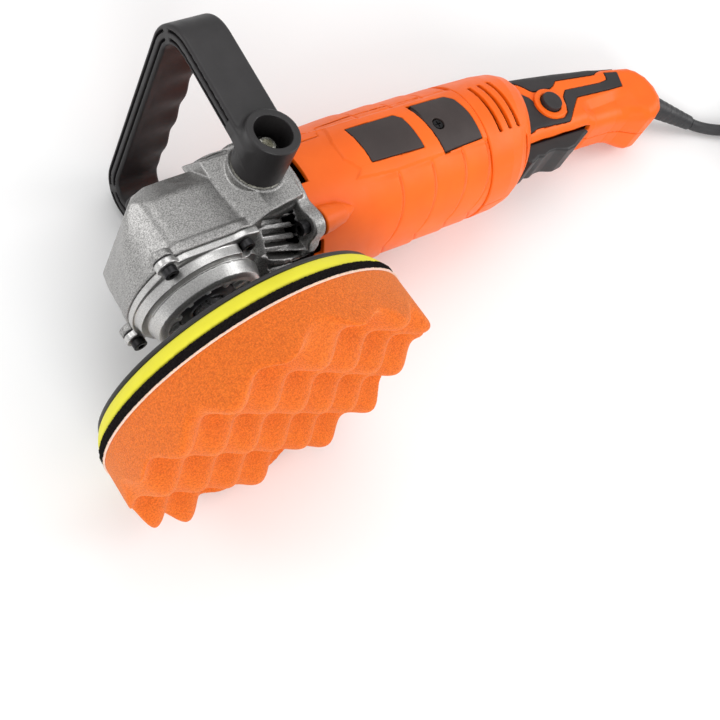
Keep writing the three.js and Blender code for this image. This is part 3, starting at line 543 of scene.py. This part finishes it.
def cover_plan(x, y, inset):
    """The head's plan with an ear at each cover screw."""
    plan = head_plan(x, y, inset)
    for sx, sy in COVER_SCREWS:
        plan = smooth_min(plan, np.hypot(x - sx, y - sy) - (6.4 - inset), 3)
    return plan


COVER_BOTTOM, COVER_TOP, HEAD_FOOT = 91.8, 96.0, 96.7
HEAD_PROFILE = ((-40, HEAD_FOOT), (-38.3, 101), (-33.6, 119), (-27.6, 132), (-18.6, 140.2), (-7.5, 145.4),
                (6, 146.2), (60, 146.4), (60, HEAD_FOOT))


def slot_round_motor(x, motor_r, angle, middle, lean, half, span):
    """A slot along the motor's axis, at an angle round it in degrees."""
    across = (angle - middle) * np.pi / 180 * motor_r + lean
    return np.maximum(np.abs(across) - half, band(x, *span))


def gear_housing_field(x, y, z):
    y = np.abs(y)
    motor_r = np.hypot(y, z - MOTOR_Z)
    angle = np.degrees(np.arctan2(z - MOTOR_Z, y))

    flank_taper = np.maximum(z - 95, 0) * 0.05
    head = smooth_max(head_plan(x, y, 0.0) + flank_taper, outline(x, z, HEAD_PROFILE), 1.8)
    head = smooth_max(head, 0.78 * (y - 25) + 0.62 * (z - 145.5), 1.5)
    head = smooth_max(head, x - 36, 1)
    ears = smooth_max(cover_plan(x, y, 0.6), band(z, HEAD_FOOT, 101), 0.8)
    ears = smooth_max(ears, x - 28.5, 0.8)
    body = smooth_min(head, ears, 2.5)

    shoulder = motor_r - np.interp(x, (22, 27, 35, 41), (30, 36.5, 42.5, MOTOR_RADIUS))
    barrel = smooth_max(shoulder, band(x, 24, 64), 1.2)
    body = smooth_min(body, barrel, 3)

    facet = (12 * (y - 38.6) - 7 * (x - 25)) / 13.9
    block_top = (z - 137.5) * 0.85 + (y - 45.5) * 0.5
    block_ends = smooth_max(block_top, 97.5 + (x - 40) * 0.12 - z, 1.2)
    pad_block = smooth_max(np.maximum(facet, y - 45.4), block_ends, 1.0)
    pad_block = smooth_max(smooth_max(pad_block, 22 - x, 1), x - 60.5, 1)
    pad_block = np.maximum(pad_block, 20 - y)
    body = smooth_min(body, pad_block, 1.2)

    boss_foot = rod(np.hypot(x - HANDLE_X, z - HANDLE_Z), y, 16.2, (20, 45.8), 0.6)
    body = smooth_min(body, boss_foot, 1.0)

    neck = block(x, y, z, ((29, 58), (-1, 25), (84, 104)), 2)
    body = smooth_min(body, neck, 4)

    flange = rod(motor_r, x, 45.2, (56, 64), 1.2)
    for sy, sz in FLANGE_SCREWS:
        ear_r = np.hypot(y - sy, z - sz)
        flange = smooth_min(flange, rod(ear_r, x, 7.4, (56, 64), 1.2), 8)
        web = np.maximum(np.abs(y - sy + 1) - 1.6, band(x, 44, 58))
        web = smooth_max(web, band(z, *((sz, sz + 14) if sz < MOTOR_Z else (sz - 14, sz))), 1)
        body = smooth_min(body, web, 1.5)
    body = smooth_min(body, flange, 1.5)

    # the recess behind the cover, under the handle's block, with its air slots between ribs
    undercut = np.maximum(band(x, 29.5, 56), z - (96.5 + (x - 40) * 0.12))
    undercut = np.maximum(undercut, np.maximum(39.4 - motor_r, 24 - y))
    body = smooth_max(body, -undercut, 1.2)
    slots = union(*(slot_round_motor(x, motor_r, angle, middle, (x - 44) * 0.2, 1.5, (33, 54))
                    for middle in (-30, -39, -48, -57, -66)))
    body = smooth_max(body, -np.maximum(slots, 32 - motor_r), 0.8)

    louvres = union(*(slot_round_motor(x, motor_r, angle, middle, (x - 34) * 0.12, 1.7, (20, 46))
                      for middle in (38, 51, 64)))
    louvres = np.maximum(louvres, np.maximum(30 - motor_r, 30 - x + (motor_r - 40) * 0.4))
    body = smooth_max(body, -louvres, 0.8)

    # hollows for the gears, the fan, the shaft, the bearings, the lock pin and the screws
    spindle_r = np.hypot(x, y)
    inside = union(
        rod(spindle_r, z, 31, (85, 122)), rod(motor_r, x, 39, (52, 70)),
        rod(motor_r, x, 9.5, (0, 70)), rod(motor_r, x, 13.3, (40.7, 70)),
        rod(spindle_r, z, 11.3, (118, 131.3)), rod(spindle_r, z, 5.4, (130, 160)))
    for sx, sy in COVER_SCREWS:
        inside = np.minimum(inside, rod(np.hypot(x - sx, y - sy), z, SCREW_HOLE, (80, 104)))
    for sy, sz in FLANGE_SCREWS:
        screw_r = np.hypot(y - sy, z - sz)
        inside = union(inside, rod(screw_r, x, 6.2, (34, 56)), rod(screw_r, x, SCREW_HOLE, (50, 66)))
    inside = np.minimum(inside, rod(np.hypot(x - HANDLE_X, z - HANDLE_Z), y, 4.3, (36, 60)))
    body = smooth_max(body, -inside, 0.5)
    button_seat = np.maximum(rod(spindle_r, z, 11.4, (140, 147.6), 0.8), 8.3 - spindle_r)
    return np.minimum(body, button_seat)


field_piece("gear_head", gear_housing_field, (-45, -48, 79), (66, 48, 163), 0.85, CAST, "machine",
            ["gear_housing"], 0.55)


def spindle_cover_field(x, y, z):
    radius = np.hypot(x, y)
    y = np.abs(y)
    plan = smooth_max(cover_plan(x, y, 0.4), x - 28.6, 1.5)
    plate = corner(plan, band(z, COVER_BOTTOM, COVER_TOP), 0.8)
    tier = np.interp(z, (76.5, 78, 80, 84.4, 85.0, 85.6, 86.2, 93),
                     (29.2, 31, 31.8, 33.4, 32.6, 32.8, 36.4, 37.4))
    body = smooth_min(plate, corner(radius - tier, band(z, 76.5, 94), 0.9), 1.0)
    for sx, sy in COVER_SCREWS:
        body = np.maximum(body, -rod(np.hypot(x - sx, y - sy), z, 5.0, (70, COVER_BOTTOM)))
    body = np.maximum(body, -rod(radius, z, 31, (90.5, 100)))
    ledge = corner(radius - 27, band(z, 81.8, 90), 0.5)
    recess = corner(radius - 25.6, band(z, 70, 81.8), 0.8)
    body = smooth_max(np.minimum(body, ledge), -recess, 0.6)
    body = np.maximum(body, -rod(radius, z, 17.8, (83.5, 95)))
    body = np.maximum(body, -rod(radius, z, 14, (70, 95)))
    angle = np.degrees(np.arctan2(y, x))
    spokes = union(*(np.abs((angle - middle) * np.pi / 180 * radius) - 1.4 for middle in range(0, 181, 36)))
    ribs = np.maximum(spokes, np.maximum(band(radius, 17, 26), band(z, 79, 82.5)))
    body = smooth_min(body, ribs, 0.8)
    for sx, sy in COVER_SCREWS:
        body = np.maximum(body, -rod(np.hypot(x - sx, y - sy), z, SCREW_HOLE, (80, 100)))
    return body


field_piece("cover_casting", spindle_cover_field, (-45, -45, 75), (34, 45, 97.5), 0.7, TURNED_CAST,
            "machine", ["spindle_cover"], 0.55)


def gasket_field(x, y, z):
    plan = smooth_max(cover_plan(x, np.abs(y), 0.8), x - 28.2, 1.5)
    body = corner(plan, band(z, COVER_TOP + 0.05, HEAD_FOOT - 0.05), 0.2)
    return np.maximum(body, 31.3 - np.hypot(x, y))


field_piece("thin_gasket", gasket_field, (-45, -45, 95), (34, 45, 98), 0.4, BLACK, "machine",
            ["gear_gasket"], 0.5)

CAP_HEIGHT = 4.4


def cap_screw_field(sx, sy):
    def field(x, y, z):
        across, height = np.hypot(x - sx, y - sy), z - (COVER_BOTTOM - 0.1 - CAP_HEIGHT)
        hexagon = np.maximum(np.abs(y - sy), np.abs(x - sx) * 0.866 + np.abs(y - sy) * 0.5) - 1.75
        body = rod(across, height, 4.0, (0, CAP_HEIGHT), 0.4)
        body = np.minimum(body, rod(across, height, 2.1, (2, 15)))
        return np.maximum(body, -np.maximum(hexagon, height - 2.6))
    return field


ALL_COVER_SCREWS = [(sx, side * sy) for sx, sy in COVER_SCREWS for side in (-1, 1)]
for number, (sx, sy) in enumerate(ALL_COVER_SCREWS, 1):
    field_piece(f"cover_cap_screw_{number}", cap_screw_field(sx, sy), (sx - 5, sy - 5, 86),
                (sx + 5, sy + 5, 103), 0.35, BLACK_STEEL, "machine",
                [f"cover_screw_{number}"], 0.5)

lathe_piece("spindle_seal", [
    [9.2, 80.2], [10.0, 79.7], [12.6, 79.6], [13.6, 80.4], [16.4, 80.9], [16.9, 81.4], [16.9, 81.75],
    [13.6, 81.8], [13.6, 83.2], [9.2, 83.2],
], RUBBER, "machine", [], 96)


# ---------------------------------------------------------------- D-handle
LEG_FOOT = ((-47, 116), (-57, 190), (-57, 192), (57, 192), (57, 190), (47, 116))
HOLE_FOOT = ((-44.5, 100), (-44.5, 118), (-55, 186), (-55, 189.5), (55, 189.5), (55, 186), (44.5, 118),
             (44.5, 100))
HANDLE_SEAT = 46.9


def handle_field(x, y, z):
    outer = outline(y, z, LEG_FOOT) - 20
    hole = outline(y, z, HOLE_FOOT) - 12
    y = np.abs(y)
    fingers = 1.6 * (0.5 - 0.5 * np.cos(2 * np.pi * y / 23)) * np.clip((z - 190) / 8, 0, 1)
    swell = fingers * np.clip((x - 36) / 18, 0, 1) * np.clip((60 - y) / 12, 0, 1)
    ring = smooth_max(outer, -hole - swell, 2.2)
    ring = smooth_max(ring, 121 - z, 1)
    loop = corner(ring, band(x, 30.2, 59.8), 2.4)

    middle = (outer + hole) / 2
    groove = np.maximum(np.abs(np.abs(middle) - 2.3) - 0.75, np.minimum(x - 33.4, 56.6 - x))
    at_corner = np.maximum(np.abs((77 - y) - (212 - z)) - 3.2, 184 - z)
    groove = np.maximum(groove, -at_corner)
    groove = np.maximum(groove, 142 - z)
    loop = smooth_max(loop, -groove, 0.5)

    boss_r = np.hypot(x - HANDLE_X, z - HANDLE_Z)
    boss = rod(boss_r, y, 15, (HANDLE_SEAT, 75), 1.0)
    body = smooth_min(loop, boss, 4)
    body = np.maximum(body, np.minimum(HANDLE_SEAT - y, 160 - z))
    body = smooth_max(body, -rod(boss_r, y, 10.6, (57, 90)), 0.7)
    return np.maximum(body, -rod(boss_r, y, 4.6, (40, 60)))


field_piece("d_handle_moulding", handle_field, (27, -80, 105), (63, 80, 215), 0.8, BLACK, "machine",
            ["d_handle"], 0.5)


# ---------------------------------------------------------------- motor housing
PANEL = ((72, 146), (96, 139), (150, 136.5), (204, 136), (204, 95.5), (128, 96.5), (99, 99.5), (104, 104),
         (97.5, 112), (97.5, 124), (103, 137), (72, 143))
NAME_PLATE = ((113, 130.5), (148, 129.2), (151.5, 125), (153, 103.5), (114.5, 105.5))
BRUSH_COVER = ((161.5, 132), (190, 130.4), (194, 126), (196, 113), (196.6, 97.6), (166, 97.2))
SEAM_TOP = ((64, 133), (96, 133), (101, 141), (136, 141), (168, 138), (201, 136))


def motor_distance(x, y, z):
    """Distance from the motor's axis, scaled so that the top comes down towards the rear."""
    top = np.interp(x, (64, 120, 160, 225, 256), (43.5, 43.0, 41.6, 37.7, 36.6))
    rise = z - MOTOR_Z
    return np.hypot(y, np.where(rise > 0, rise * MOTOR_RADIUS / top, rise))


def motor_housing_field(x, y, z):
    y = np.abs(y)
    radius = np.hypot(y, z - MOTOR_Z)
    scaled = motor_distance(x, y, z)
    angle = np.degrees(np.arctan2(z - MOTOR_Z, y))
    bend = 0.0042 * np.maximum(np.abs(angle) - 40, 0) ** 2
    gripped = np.clip((np.abs(angle) - 27) / 4, 0, 1)
    steps = np.zeros(np.broadcast(x, y, z).shape)
    for start in (129, 154.5, 179, 199):
        behind = x + bend - start
        ridge = np.where((behind > -24) & (behind < 0), 0.8 * np.clip(1 + behind / 24, 0, 1), 0)
        groove = -1.3 * np.exp(-(behind / 0.95) ** 2)
        steps = steps + ridge + groove
    steps = steps * gripped * np.clip((x - 98) / 8, 0, 1)

    panel_flat = outline(x, z, PANEL)
    panel = 0.9 * np.clip(-panel_flat / 1.4, 0, 1)
    skin = scaled - (MOTOR_RADIUS - 0.9 + steps + panel)
    plate_dip = outline(x, z, NAME_PLATE) - 0.35
    wall = skin + 1.8
    skin = smooth_max(skin, -np.maximum(plate_dip, MOTOR_RADIUS - 1.2 - scaled), 0.4)

    body = smooth_max(skin, band(x, 64.4, 200.9), 1.0)
    for sy, sz in FLANGE_SCREWS:
        lean = (x - 64) * (0.10 if sz < MOTOR_Z else -0.10)
        ear_r = np.hypot(y - sy + (x - 64) * 0.05, z - sz - lean * 0.5)
        ear = ear_r - np.interp(x, (64, 71, 81, 90), (8.0, 7.5, 5.8, 1.5))
        ear = smooth_max(ear, band(x, 64.4, 90), 1)
        body = smooth_min(body, ear, 2.5)

    seam = np.interp(x, *zip(*SEAM_TOP)) - z
    seam_cut = np.maximum(np.abs(seam) - 0.35, MOTOR_RADIUS - 1.5 - radius)
    body = smooth_max(body, -np.maximum(seam_cut, 62 - x), 0.3)

    bore = union(
        np.maximum(np.maximum(radius - MOTOR_BORE, wall), x - 188),
        np.maximum(np.maximum(band(radius, 15, MOTOR_BORE), wall), 191 - x),
        np.maximum(radius - 11.3, 191 - x),
        radius - 8)
    air = np.maximum(band(x, 64, 70.5), np.maximum(np.abs(angle - 4) - 15, 38 - radius))
    low_air = np.maximum(band(x, 64, 69.5), np.maximum(np.abs(angle + 62) - 6, 38 - radius))
    brush = np.maximum(outline(x, z, BRUSH_COVER) - 0.35, 36 - radius)
    cuts = union(bore, air, low_air, brush)
    for sy, sz in FLANGE_SCREWS:
        cuts = np.minimum(cuts, rod(np.hypot(y - sy, z - sz), x, SCREW_HOLE, (60, 77)))
    return smooth_max(body, -cuts, 0.5)


field_piece("motor_shell", motor_housing_field, (62.5, -49, 69), (203, 49, 163), 0.9, ORANGE, "machine",
            ["motor_housing"], 0.42)


def on_flank(shape, bottom, top, round_=0.0):
    """A field for a plate that follows the motor's round flank, on both sides."""
    def field(x, y, z):
        return corner(outline(x, z, shape), band(motor_distance(x, y, z), bottom, top), round_)
    return field


def name_plate_field(x, y, z):
    plate = on_flank(NAME_PLATE, MOTOR_RADIUS - 1.1, MOTOR_RADIUS + 0.1, 0.3)(x, y, z)
    return np.maximum(plate, y)


field_piece("blank_name_plate", name_plate_field, (105, -46, 101), (155, -36, 133), 0.55, PLATE, "machine",
            ["name_plate"], 0.5)

BRUSH_SCREW = (171, 113.5)


def brush_cover_field(side):
    def field(x, y, z):
        plate = on_flank(BRUSH_COVER, MOTOR_RADIUS - 4.5, MOTOR_RADIUS + 0.25, 0.5)(x, y, z)
        well_r = np.hypot(x - BRUSH_SCREW[0], z - BRUSH_SCREW[1])
        plate = smooth_max(plate, -rod(well_r, np.abs(y), 3.9, (40.4, 60)), 0.5)
        plate = np.maximum(plate, -rod(well_r, np.abs(y), 1.8, (30, 60)))
        return np.maximum(plate, -side * y)
    return field


for name, side in (("left", -1), ("right", 1)):
    span = sorted((side * 34, side * 47))
    field_piece(f"brush_lid_{name}", brush_cover_field(side), (164, span[0], 95), (198, span[1], 134), 0.5,
                PLATE, "machine", [f"brush_cover_{name}"], 0.5)


# ---------------------------------------------------------------- rear shells and grip
GRIP = ((222, 143.4), (262, 142), (282, 139), (306, 135), (321, 132), (336, 129.3), (353, 124), (366, 119.4),
        (371, 114.5), (375.4, 107), (376.4, 97), (374, 88), (368.5, 81.5), (362, 78.4), (355, 78.6),
        (348.5, 81.8), (342, 85.2), (333, 87.6), (312, 89), (306, 91.5), (262, 93.5), (222, 93.5))
BELL = ((195, 43.4), (224, 43.3), (236, 42.0), (244, 39.2), (250, 35), (254, 29), (256, 20), (256.5, 0),
        (256.5, -6), (195, -6))
SIDE_INLAY = ((258, 135.6), (266, 127.5), (271, 121.5), (273.4, 115), (274.3, 110), (275.2, 105.5),
              (279, 100.8), (286, 99.6), (292, 102.5), (295.5, 109), (298, 114.2), (303, 118), (334, 114.4),
              (342, 114.8), (344, 120.5), (353.5, 117.4), (349.5, 106.5), (308, 110.6), (297.5, 103),
              (289.5, 96.6), (261, 99.6), (252, 98), (246, 112), (244, 128), (248, 138))
TOP_INLAY = ((263, 150), (262.5, 139), (272, 131.6), (277, 125.2), (280, 124), (285, 124.4), (292, 123),
             (296, 124), (301, 127), (335, 121.8), (338, 123), (345, 124.2), (356, 121.5), (360, 126),
             (361, 150))
LOCK_ON = (282, 112)


def grip_core(x, y, z, inset=0.0):
    side = np.abs(y)
    flat = outline(x, z, GRIP)
    waist = 2.8 * np.clip((x - 306) / 8, 0, 1) * np.clip((352 - x) / 14, 0, 1) * np.clip((106 - z) / 6, 0, 1)
    flare = 3.4 * np.clip((x - 338) / 30, 0, 1) ** 1.5
    half = 19.6 + flare - waist
    return corner(flat + inset, side - half + inset, 8.5)


def bell_core(x, y, z, inset=0.0):
    shift = np.clip((x - 204) / 26, 0, 1)
    along = x - 0.27 * (z - MOTOR_Z) * shift
    return smooth_max(outline(along, motor_distance(x, y, z), BELL) + inset, 201.2 - x, 0.8)


def inlay_prism(x, z, gap=0.0):
    return np.minimum(outline(x, z, SIDE_INLAY), outline(x, z, TOP_INLAY)) - gap


def rear_field(x, y, z):
    side = np.abs(y)
    grip = grip_core(x, y, z)
    bell = bell_core(x, y, z)
    body = smooth_min(grip, bell, 2.0)

    recess = np.maximum(inlay_prism(x, z, 0.3), -(grip + 1.3))
    recess = np.maximum(recess, -(bell - 0.2))
    body = smooth_max(body, -np.maximum(recess, 3 - side), 0.3)
    ring_r = np.hypot(x - LOCK_ON[0], z - LOCK_ON[1])
    ring = rod(ring_r, side, 11.6, (14, 22.0), 0.8)
    body = smooth_min(body, np.maximum(ring, 10 - side), 0.5)

    vents = union(*(corner(np.abs(x - start - (z - 114) * -0.03) - 1.5, band(z, 97, 131), 1.2)
                    for start in (212.5, 220.5, 228.5)))
    vents = np.maximum(vents, 30 - side)
    under_slot_x = 234.5 - 0.0016 * np.maximum(side - 8, 0) ** 2 + (z - 80) * 0.16
    under_slot = np.maximum(np.abs(x - under_slot_x) - 0.9, np.maximum(z - 93, 36 - np.hypot(y, z - MOTOR_Z)))

    inside = np.minimum(grip_core(x, y, z, 3.0), bell_core(x, y, z, 3.0))
    motor_room = rod(np.hypot(y, z - MOTOR_Z), x, MOTOR_BORE, (195, 207))
    inside = np.minimum(inside, np.maximum(motor_room, bell + 1.8))
    trigger = block(x, y, z, ((241, 308.5), (-13.2, 13.2), (60, 105)), 1.0)
    lock_on = np.maximum(rod(ring_r, side, 7.5, (8, 40)), y)
    exit_hole = boot_hole(x, y, z)
    screw = rod(np.hypot(x - 340, z - 104), y, 3.6, (14, 40))
    cuts = union(inside, trigger, lock_on, exit_hole, vents, under_slot, screw)
    return smooth_max(body, -cuts, 0.5)


BOOT_START = np.array([380.0, 1.0, 101.5])
BOOT_WAY = np.array([0.8, 0.16, -0.578]) / np.linalg.norm([0.8, 0.16, -0.578])
BOOT_LENGTH = 46
BOOT_ROOT = -14


def along_boot(x, y, z):
    dx, dy, dz = x - BOOT_START[0], y - BOOT_START[1], z - BOOT_START[2]
    along = dx * BOOT_WAY[0] + dy * BOOT_WAY[1] + dz * BOOT_WAY[2]
    across = np.sqrt(np.maximum(dx * dx + dy * dy + dz * dz - along * along, 0))
    return along, across


def boot_hole(x, y, z):
    """The hole that the strain relief sits in."""
    along, across = along_boot(x, y, z)
    return np.maximum(across - 7.7, BOOT_ROOT + 1.5 - along)


SEAM_HALF = 0.16
for name, side in (("left", -1), ("right", 1)):
    def shell_field(x, y, z, side=side):
        return smooth_max(rear_field(x, y, z), SEAM_HALF - side * y, 0.5)
    span = sorted((side * -1.5, side * 46))
    field_piece(f"rear_half_{name}", shell_field, (199.5, span[0], 69), (391, span[1], 162), 0.85, ORANGE,
                "machine", [f"rear_shell_{name}"], 0.45)

    def inlay_field(x, y, z, side=side):
        grip = grip_core(x, y, z)
        skin = np.maximum(grip - 0.35, -(grip + 1.1))
        skin = corner(inlay_prism(x, z), skin, 0.3)
        skin = np.maximum(skin, -(bell_core(x, y, z) - 0.3))
        skin = np.maximum(skin, 3.3 - np.abs(y))
        return np.maximum(skin, SEAM_HALF - side * y)
    span = sorted((side * -0.5, side * 24))
    field_piece(f"inlay_{name}", inlay_field, (243, span[0], 94), (364, span[1], 149), 0.65, SOFT, "machine",
                [f"grip_inlay_{name}"], 0.5)


# ---------------------------------------------------------------- trigger and buttons
TRIGGER = ((244, 85.5), (249, 92), (254, 95), (304, 92), (305.5, 88.5), (299, 86.5), (287, 81.8), (279, 81.2),
           (270, 84), (260, 82.6), (254, 84.2), (249, 82.4), (245.5, 82))


def trigger_field(x, y, z):
    flat = outline(x, z, TRIGGER)
    body = corner(flat, np.abs(y) - 12.3, 2.0)
    finger_scoop = 15 - np.hypot(x - 266, z - 69.8)
    return smooth_max(body, finger_scoop, 1.5)


field_piece("trigger_paddle", trigger_field, (228, -14, 68), (309, 14, 97), 0.6, BLACK, "trigger",
            ["switch_trigger"], 0.5)


def button_field(x, y, z):
    radius = np.hypot(x - LOCK_ON[0], z - LOCK_ON[1])
    return corner(radius - 6.9, band(y + 0.010 * np.minimum(radius, 7) ** 2, -24.4, -13.4), 0.7)


field_piece("lock_on_cap", button_field, (273, -26, 103), (291, -12, 121), 0.45, SOFT, "lock_on",
            ["lock_on_button"], 0.6)


def spindle_lock_field(x, y, z):
    radius = np.hypot(x, y)
    stem = rod(radius, z, 4.9, (134.5, 150), 0.4)
    ridges = 0.25 * np.cos(radius * 2.6)
    cap = corner(radius - 7.4, band(z + ridges * (radius < 5.5), 149.2, 153.4), 1.0)
    return smooth_min(stem, cap, 0.8)


field_piece("spindle_lock_cap", spindle_lock_field, (-9, -9, 133), (9, 9, 155), 0.5, BLACK, "spindle_lock",
            ["spindle_lock_button"], 0.6)


# ---------------------------------------------------------------- strain relief
def boot_field(x, y, z):
    along, across = along_boot(x, y, z)
    width = np.interp(along, (BOOT_ROOT, -9.5, -9, 15, 24, 40, 46), (5.1, 5.1, 7.4, 7.3, 6.6, 5.4, 5.0))
    rings = 0.22 * np.cos(2 * np.pi * along / 5.2)
    rings = rings * np.clip((along - 16) / 4, 0, 1) * np.clip((42 - along) / 3, 0, 1)
    return corner(across - width - np.minimum(rings, 0), band(along, BOOT_ROOT, BOOT_LENGTH), 0.8)


field_piece("boot", boot_field, (362, -11, 68), (422, 16, 119), 0.6, RUBBER, "machine",
            ["strain_relief"], 0.6)


# ---------------------------------------------------------------- cord, tie and plug
# Drawn in millimetres on the floor, with the spindle's axis along Y at x = 0.
CORD_DIAMETER = 8
FLOOR_ORIGIN = np.array([TOOL_ORIGIN[0], TOOL_ORIGIN[1], 0]) * 1000
COIL_CENTRE = (492, 2)
COIL_RADII = (35.4, 44.0, 52.6)
COIL_LEVELS = (4.3, 12.45, 20.6, 28.75)
COIL_TURNS = ((2, 0), (1, 0), (0, 0), (0, 1), (1, 1), (2, 1), (2, 2), (1, 2), (0, 2), (0, 3))
LAST_SHARE = 0.75
FULL_TURNS = len(COIL_TURNS) - 1 + LAST_SHARE
TAIL_TURNS = 0.5
TAIL_HEIGHT = 9.8
OUTSIDE_RADIUS = 61.6
PLUG_X, PLUG_Z = 545, 9.3
CORD_ROUTE = ((409.4, 72.7, 6.7), (413.2, 69.8, 5.3), (418, 66.2, 4.5), (424.5, 61.6, 4.3), (432, 57.4, 4.3),
              (440.5, 54, 4.3), (447, 52.6, 4.3), (452.5, 52.2, 4.3), (462, 52.6, 4.3), (471, 53.5, 4.3),
              (481, 54.4, 4.3))
CORD_END = ((552.7, -10, 9.6), (550.4, -18, 9.4), (548.0, -25.5, 9.3), (546.2, -32, 9.3), (545.2, -38.5, 9.3),
            (545, -45, 9.3))
POINTS_PER_TURN = 28


def on_floor(points):
    return (np.asarray(points, float) + FLOOR_ORIGIN) / 1000


def eased(share):
    share = min(1, max(0, share))
    return share * share * (3 - 2 * share)


def coil_point(turns):
    """A point of the coil, so many turns from its start at the top of the ring, clockwise from above."""
    angle = math.radians(90 - 360 * turns)
    if turns < FULL_TURNS:
        k = int(turns)
        share = turns - k
        ring, level = COIL_TURNS[k]
        next_ring, next_level = COIL_TURNS[min(k + 1, len(COIL_TURNS) - 1)]
        rise = eased((share - 0.46) / 0.24)
        shift = eased((share - 0.70) / 0.30)
        radius = COIL_RADII[ring] + (COIL_RADII[next_ring] - COIL_RADII[ring]) * shift
        height = COIL_LEVELS[level] + (COIL_LEVELS[next_level] - COIL_LEVELS[level]) * rise
    else:
        share = (turns - FULL_TURNS) / TAIL_TURNS
        radius = COIL_RADII[0] + (OUTSIDE_RADIUS - COIL_RADII[0]) * eased(share / 0.45)
        height = COIL_LEVELS[3] + (TAIL_HEIGHT - COIL_LEVELS[3]) * eased((share - 0.42) / 0.58)
    return [COIL_CENTRE[0] + radius * math.cos(angle), COIL_CENTRE[1] + radius * math.sin(angle), height]


def cord_points():
    all_turns = FULL_TURNS + TAIL_TURNS
    count = int(all_turns * POINTS_PER_TURN)
    coil = [coil_point(all_turns * i / count) for i in range(count + 1)]
    return on_floor([*CORD_ROUTE, *coil, *CORD_END])


def make_cord():
    curve = bpy.data.curves.new("mains_cord", "CURVE")
    curve.dimensions = "3D"
    curve.bevel_depth = CORD_DIAMETER / 2000
    curve.bevel_resolution = 5
    curve.resolution_u = 3
    curve.use_fill_caps = True
    points = cord_points()
    spline = curve.splines.new("BEZIER")
    spline.bezier_points.add(len(points) - 1)
    for point, at in zip(spline.bezier_points, points):
        point.co = at
        point.handle_left_type = "AUTO"
        point.handle_right_type = "AUTO"
    curve.materials.append(RUBBER)
    cord = bpy.data.objects.new("mains_cord", curve)
    bpy.context.scene.collection.objects.link(cord)
    bpy.context.view_layer.update()
    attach(cord, "machine")
    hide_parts("power_cord", "cord_coil")
    return cord


def floor_piece(name, field, low, high, look, nodes):
    """A piece drawn as a distance field in floor millimetres."""
    mesh = field_mesh(name, field, low, high, 0.6, 0.6, on_floor, np.eye(3))
    return make_piece(name, mesh, look, "machine", nodes)


TIE_ANGLE = math.radians(200)
TIE_BUNDLE = ((31.2, 0.9), (56.8, 0.9), (56.8, 23.6), (40.4, 32.0), (31.2, 32.0))


def tie_field(x, y, z):
    dx, dy = x - COIL_CENTRE[0], y - COIL_CENTRE[1]
    radial = dx * math.cos(TIE_ANGLE) + dy * math.sin(TIE_ANGLE)
    along = dy * math.cos(TIE_ANGLE) - dx * math.sin(TIE_ANGLE)
    bundle = outline(radial, z, TIE_BUNDLE) - 0.45
    return corner(np.abs(bundle) - 0.45, np.abs(along) - 7, 0.3)


def plug_field(x, y, z):
    dx, dz = x - PLUG_X, z - PLUG_Z
    sleeve = np.hypot(dx, dz) - np.interp(y, (-50, -44, -34), (6.6, 6.2, 4.9))
    ribs = 0.35 * np.cos(2 * np.pi * y / 3.2)
    sleeve = corner(sleeve - ribs, band(y, -56, -34), 0.6)
    width = np.interp(-y, (46, 54, 62, 82), (8, 12.5, 14, 13.4))
    body = corner(corner(np.abs(dx) - width, np.abs(dz) - 8.7, 5.0), band(y, -82, -48), 1.6)
    grips = union(*(np.abs(y - start) - 0.7 for start in (-74, -70, -66, -62)))
    grips = np.maximum(grips, 12.6 - np.abs(dx))
    return smooth_max(smooth_min(sleeve, body, 2.0), -grips, 0.5)


cord = make_cord()
tie = floor_piece("cord_strap", tie_field, (432, -28, -0.5), (468, 2, 34.5), SOFT,
                  ["cord_tie"])
plug = floor_piece("moulded_plug", plug_field, (529, -84, 0), (561, -32, 19), RUBBER, ["plug"])


# ---------------------------------------------------------------- floor and light
CENTRE = (-0.05, 0.0, 0.08)
FLOOR_HALF = 6.0
FLOOR_DROP = 0.0004  # keeps the floor clear of the glue line, the lowest piece


def area_light(name, at, size, power):
    data = bpy.data.lights.new(name, "AREA")
    data.shape = "DISK"
    data.size = size
    data.energy = power
    lamp = bpy.data.objects.new(name, data)
    bpy.context.scene.collection.objects.link(lamp)
    lamp.location = at
    lamp.rotation_euler = (Vector(CENTRE) - Vector(at)).to_track_quat("-Z", "Y").to_euler()


def make_floor():
    material = node_material("pale_floor", (0.9, 0.9, 0.9), 0.85)
    vary_color(material, noise(material, 300, 2), (0.885, 0.885, 0.885), (0.915, 0.915, 0.915))
    mesh = bpy.data.meshes.new("floor")
    corners = [(x * FLOOR_HALF, y * FLOOR_HALF, 0) for x, y in ((-1, -1), (1, -1), (1, 1), (-1, 1))]
    mesh.from_pydata(corners, [], [(0, 1, 2, 3)])
    mesh.materials.append(material)
    floor = bpy.data.objects.new("floor", mesh)
    bpy.context.scene.collection.objects.link(floor)
    floor.location = (0, 0, -FLOOR_DROP)


make_floor()
area_light("key", (-0.9, -1.5, 1.1), 1.1, 22)
area_light("top", (0.5, 0.6, 1.9), 1.6, 9)
area_light("side", (1.5, -0.7, 0.9), 1.0, 10)
area_light("back", (-1.4, 1.0, 1.0), 1.0, 7)
world = bpy.data.worlds.new("studio")
world.use_nodes = True
world.node_tree.nodes["Background"].inputs["Color"].default_value = (1, 1, 1, 1)
world.node_tree.nodes["Background"].inputs["Strength"].default_value = 0.65
bpy.context.scene.world = world
